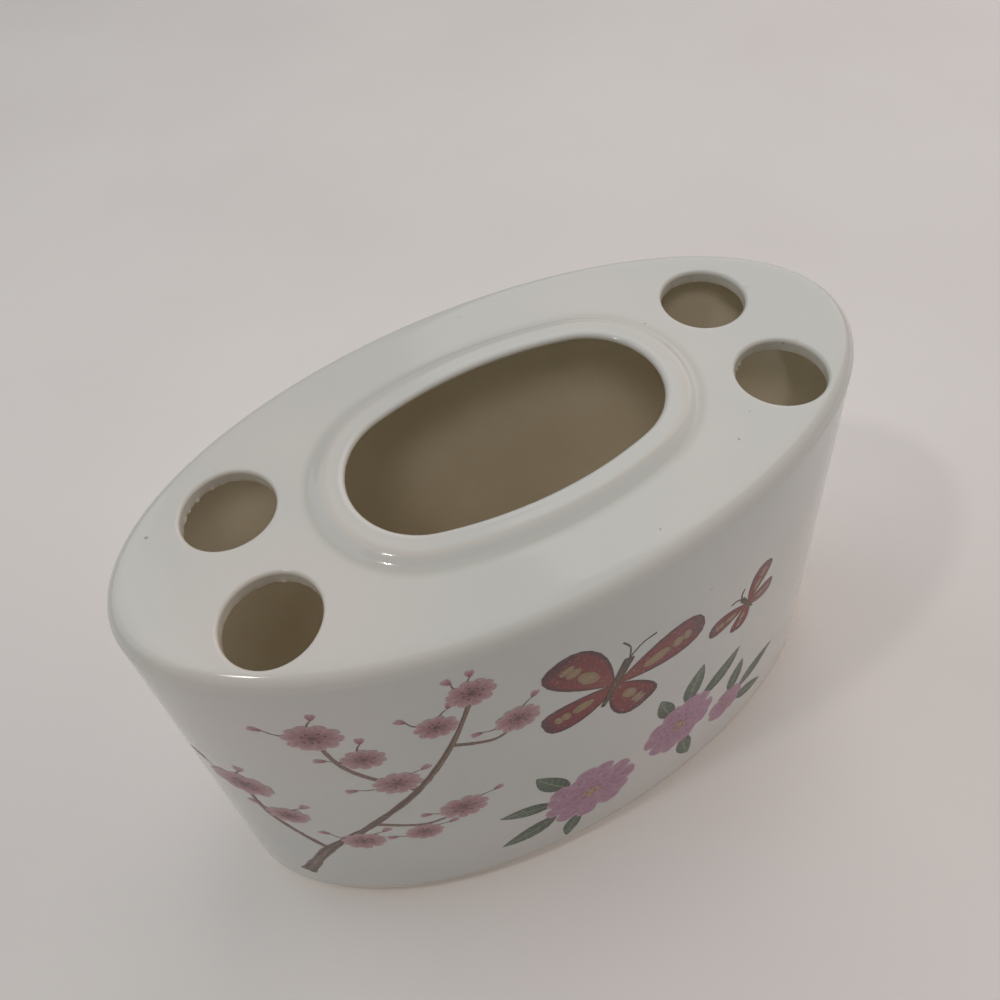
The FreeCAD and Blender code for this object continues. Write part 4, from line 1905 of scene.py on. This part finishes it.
@dataclass
class ButterflyPrint:
    """The two butterflies over the flowers.

    Attributes:
        front: The printed front wall.
        butterflies: Each one's place across and up, its share of the full span and its tilt in degrees.
        span: The full wing span, in metres.
        body: The body's length and width, as shares of the span.
        wings: The hind and the fore wing's length and width, as shares of the span, and direction in degrees.
        patches: Each wing patch's start and length as shares of the wing, and its tone.
    """

    front: Front
    butterflies: tuple[tuple[float, float, float, float], ...] = (
        (-0.02, 0.68, 1.0, -24.0), (0.42, 0.62, 0.52, 30.0))
    span: float = 42.0 * MM
    body: Flat = (0.4, 0.07)
    wings: tuple[Triple, Triple] = ((0.42, 0.26, -38.0), (0.58, 0.3, 32.0))
    patches: tuple[Triple, ...] = ((0.30, 0.30, 0.15), (0.62, 0.13, 0.95), (0.74, 0.1, 0.95))

    def _places(self) -> list[tuple[Flat, float, float]]:
        """Lists each butterfly's middle and span, in metres, and its tilt."""
        return [(self.front.place(across, up), self.span * share, tilt)
                for across, up, share, tilt in self.butterflies]

    def wing_stamps(self) -> Iterator[Stamp]:
        """Lays out the wings.

        Yields:
            The wings, hind wings first.
        """
        for centre, size, tilt in self._places():
            for layer, (length, width, rise) in enumerate(self.wings):
                for side, turn in enumerate((rise, 180.0 - rise)):
                    lift = 0.02 * MM + 0.014 * MM * layer + 0.004 * MM * side
                    yield Stamp(centre, turn + tilt, length * size, width * size, lift,
                                0.15 + 0.25 * (1 - layer), 2 * layer + side)

    def patch_stamps(self) -> Iterator[Stamp]:
        """Lays out the slate and tan patches on the wings.

        Yields:
            The patches.
        """
        for wing in self.wing_stamps():
            for reach, part, tone in self.patches:
                spot = step_from(wing.place, wing.turn, reach * wing.length)
                yield Stamp(spot, wing.turn, part * wing.length, 0.3 * wing.width, lift=0.05 * MM, tone=tone)

    def body_strokes(self) -> Iterator[Stroke]:
        """Lays out the bodies and the feelers.

        Yields:
            The lines.
        """
        for centre, size, tilt in self._places():
            length, width = self.body[0] * size, self.body[1] * size
            head = step_from(centre, 90.0 + tilt, 0.55 * length)
            tail = step_from(centre, 270.0 + tilt, 0.45 * length)
            yield Stroke((tail, centre, head), start=0.35 * width, stop=width, lift=0.062 * MM, tone=0.3,
                         cuts=8, uneven=0.25)
            for side in (-1.0, 1.0):
                elbow = step_from(head, 90.0 + tilt + 22.0 * side, 0.1 * size)
                end = step_from(elbow, 90.0 + tilt + 52.0 * side, 0.09 * size)
                yield Stroke((head, elbow, end), start=0.35 * MM, stop=0.5 * MM, lift=0.05 * MM, tone=0.9)

    def build(self, press: PrintPress, enamels: dict[str, Material]) -> None:
        """Prints the butterflies and fixes them to the holder.

        Args:
            press: What lays the print on the wall.
            enamels: The print's materials by name.
        """
        shapes = [Motif("hind_a", 0.7, 0.3, bow=-0.06, rows=9, columns=4),
                  Motif("hind_b", 0.7, 0.3, bow=0.06, rows=9, columns=4),
                  Motif("upper_a", 1.0, 0.4, bow=0.05, rows=10, columns=4),
                  Motif("upper_b", 1.0, 0.4, bow=-0.05, rows=10, columns=4)]
        wings = press.stamps("butterfly_wings", self.wing_stamps(), shapes, enamels["red_wings"])
        settle(wings, "red_enamel", "butterfly_enamel")
        spots = press.stamps("butterfly_patches", self.patch_stamps(), [Motif("dot", 0.5, 0.5, rows=6)],
                             enamels["slate_patches"])
        settle(spots, "red_enamel")
        settle(press.strokes("butterfly_bodies", self.body_strokes(), enamels["dark_bodies"]), "red_enamel")


# The set


@dataclass(frozen=True)
class SoftBox:
    """One soft studio light.

    Attributes:
        name: The light's name.
        place: Where it hangs, in metres.
        width: The width of its face, in metres.
        power: Its power, in watts.
        colour: Its colour.
        mirrored: Whether the glaze mirrors it.
    """

    name: str
    place: Triple
    width: float
    power: float
    colour: Triple
    mirrored: bool = True

    def hang(self, target: Vector) -> None:
        """Hangs the light and turns it to the holder.

        Args:
            target: What it points at.
        """
        light = bpy.data.lights.new(self.name, "AREA")
        light.shape = "DISK"
        light.size = self.width
        light.energy = self.power
        light.color = self.colour
        lamp = new_object(self.name, light)
        lamp.location = self.place
        lamp.rotation_euler = (target - Vector(self.place)).to_track_quat("-Z", "Y").to_euler()
        lamp.visible_glossy = self.mirrored


@dataclass
class Studio:
    """The floor, the lights and the camera.

    Attributes:
        floor_size: The floor's width, in metres.
        sky: The colour of the light from all round.
        sky_strength: Its strength.
        lights: The soft lights.
        target: What the lights point at, in metres.
        eye: The camera's place, in metres.
        right: The camera's own right, as a direction.
        forward: The direction in which it looks.
        focal: Its focal length, as a share of the picture's width.
        drop: How far the picture's middle lies below the lens's axis, as a share of the width.
    """

    floor_size: float = 4.0
    sky: Triple = (0.95, 0.97, 1.0)
    sky_strength: float = 0.08
    lights: tuple[SoftBox, ...] = (
        SoftBox("front_lamp", (-0.29, -0.47, 1.0), 0.22, 1.8, (1.0, 0.92, 0.84), False),
        SoftBox("top_lamp", (-0.1, 0.1, 1.3), 0.6, 1.7, (1.0, 0.95, 0.90), False),
        SoftBox("back_left", (-0.9, 0.8, 1.0), 1.6, 4.0, (0.84, 0.96, 1.0)),
        SoftBox("back_right", (1.0, 0.8, 1.0), 1.7, 7.0, (1.0, 0.92, 0.88)),
        SoftBox("right_side", (1.3, -0.25, 0.6), 1.0, 5.2, (1.0, 0.93, 0.88), False),
        SoftBox("small_lamp", (-0.50, -0.02, 1.03), 0.07, 0.95, (1.0, 0.97, 0.92)),
    )
    target: Triple = (0.0, 0.0, 0.06)
    eye: Triple = (-0.053193, -0.127052, 0.271463)
    right: Triple = (0.88221, -0.46292, -0.08606)
    forward: Triple = (0.28341, 0.66803, -0.68805)
    focal: float = 0.9662
    drop: float = 0.1665

    def build_floor(self, finish: Material) -> None:
        """Lays the pale floor under the holder.

        Args:
            finish: The floor's material.
        """
        half = 0.5 * self.floor_size
        mesh = bpy.data.meshes.new("pale_floor")
        corners = [(-half, -half, 0.0), (half, -half, 0.0), (half, half, 0.0), (-half, half, 0.0)]
        mesh.from_pydata(corners, [], [(0, 1, 2, 3)])
        mesh.materials.append(finish)
        floor = new_object("pale_floor", mesh)

    def build_light(self) -> None:
        """Hangs the lights and sets the light from all round."""
        world = bpy.data.worlds.new("soft_sky")
        world.use_nodes = True
        sky = world.node_tree.nodes["Background"]
        sky.inputs["Color"].default_value = (*self.sky, 1.0)
        sky.inputs["Strength"].default_value = self.sky_strength
        bpy.context.scene.world = world
        for light in self.lights:
            light.hang(Vector(self.target))

    def build_camera(self) -> None:
        """Sets up the camera at the photograph's viewing angle, with plain display colours."""
        camera = bpy.data.cameras.new("photo_camera")
        camera.sensor_width = 36.0
        camera.lens = self.focal * camera.sensor_width
        camera.shift_y = -self.drop
        camera.clip_start = 0.01
        right, forward = Vector(self.right), Vector(self.forward)
        up = right.cross(forward)
        turned = Matrix((right, up, -forward)).transposed().to_4x4()
        seat = new_object("photo_camera", camera)
        seat.matrix_world = Matrix.Translation(self.eye) @ turned
        bpy.context.scene.camera = seat
        bpy.context.scene.view_settings.view_transform = "Standard"


def main() -> None:
    """Builds the holder's finish, its print and the set."""
    logging.basicConfig(level=logging.INFO, format="%(name)s %(message)s")
    effects = Effects(glaze_ripple_group(), kiln_speck_group())
    studio = Studio()
    studio.build_camera()
    studio.build_floor(FloorFinish().make(effects))
    studio.build_light()
    dress_clay(ClayFinish().make(effects))
    body = GlazedBody()
    body.dress(body.build(), GlazeFinish().make(effects))
    enamels = {enamel.name: enamel.make(effects) for enamel in ENAMELS}
    front = Front()
    press = PrintPress(front.wall)
    for part in (FlowerPrint(front), BranchPrint(front), ButterflyPrint(front)):
        part.build(press, enamels)


if __name__ == "__main__":
    main()
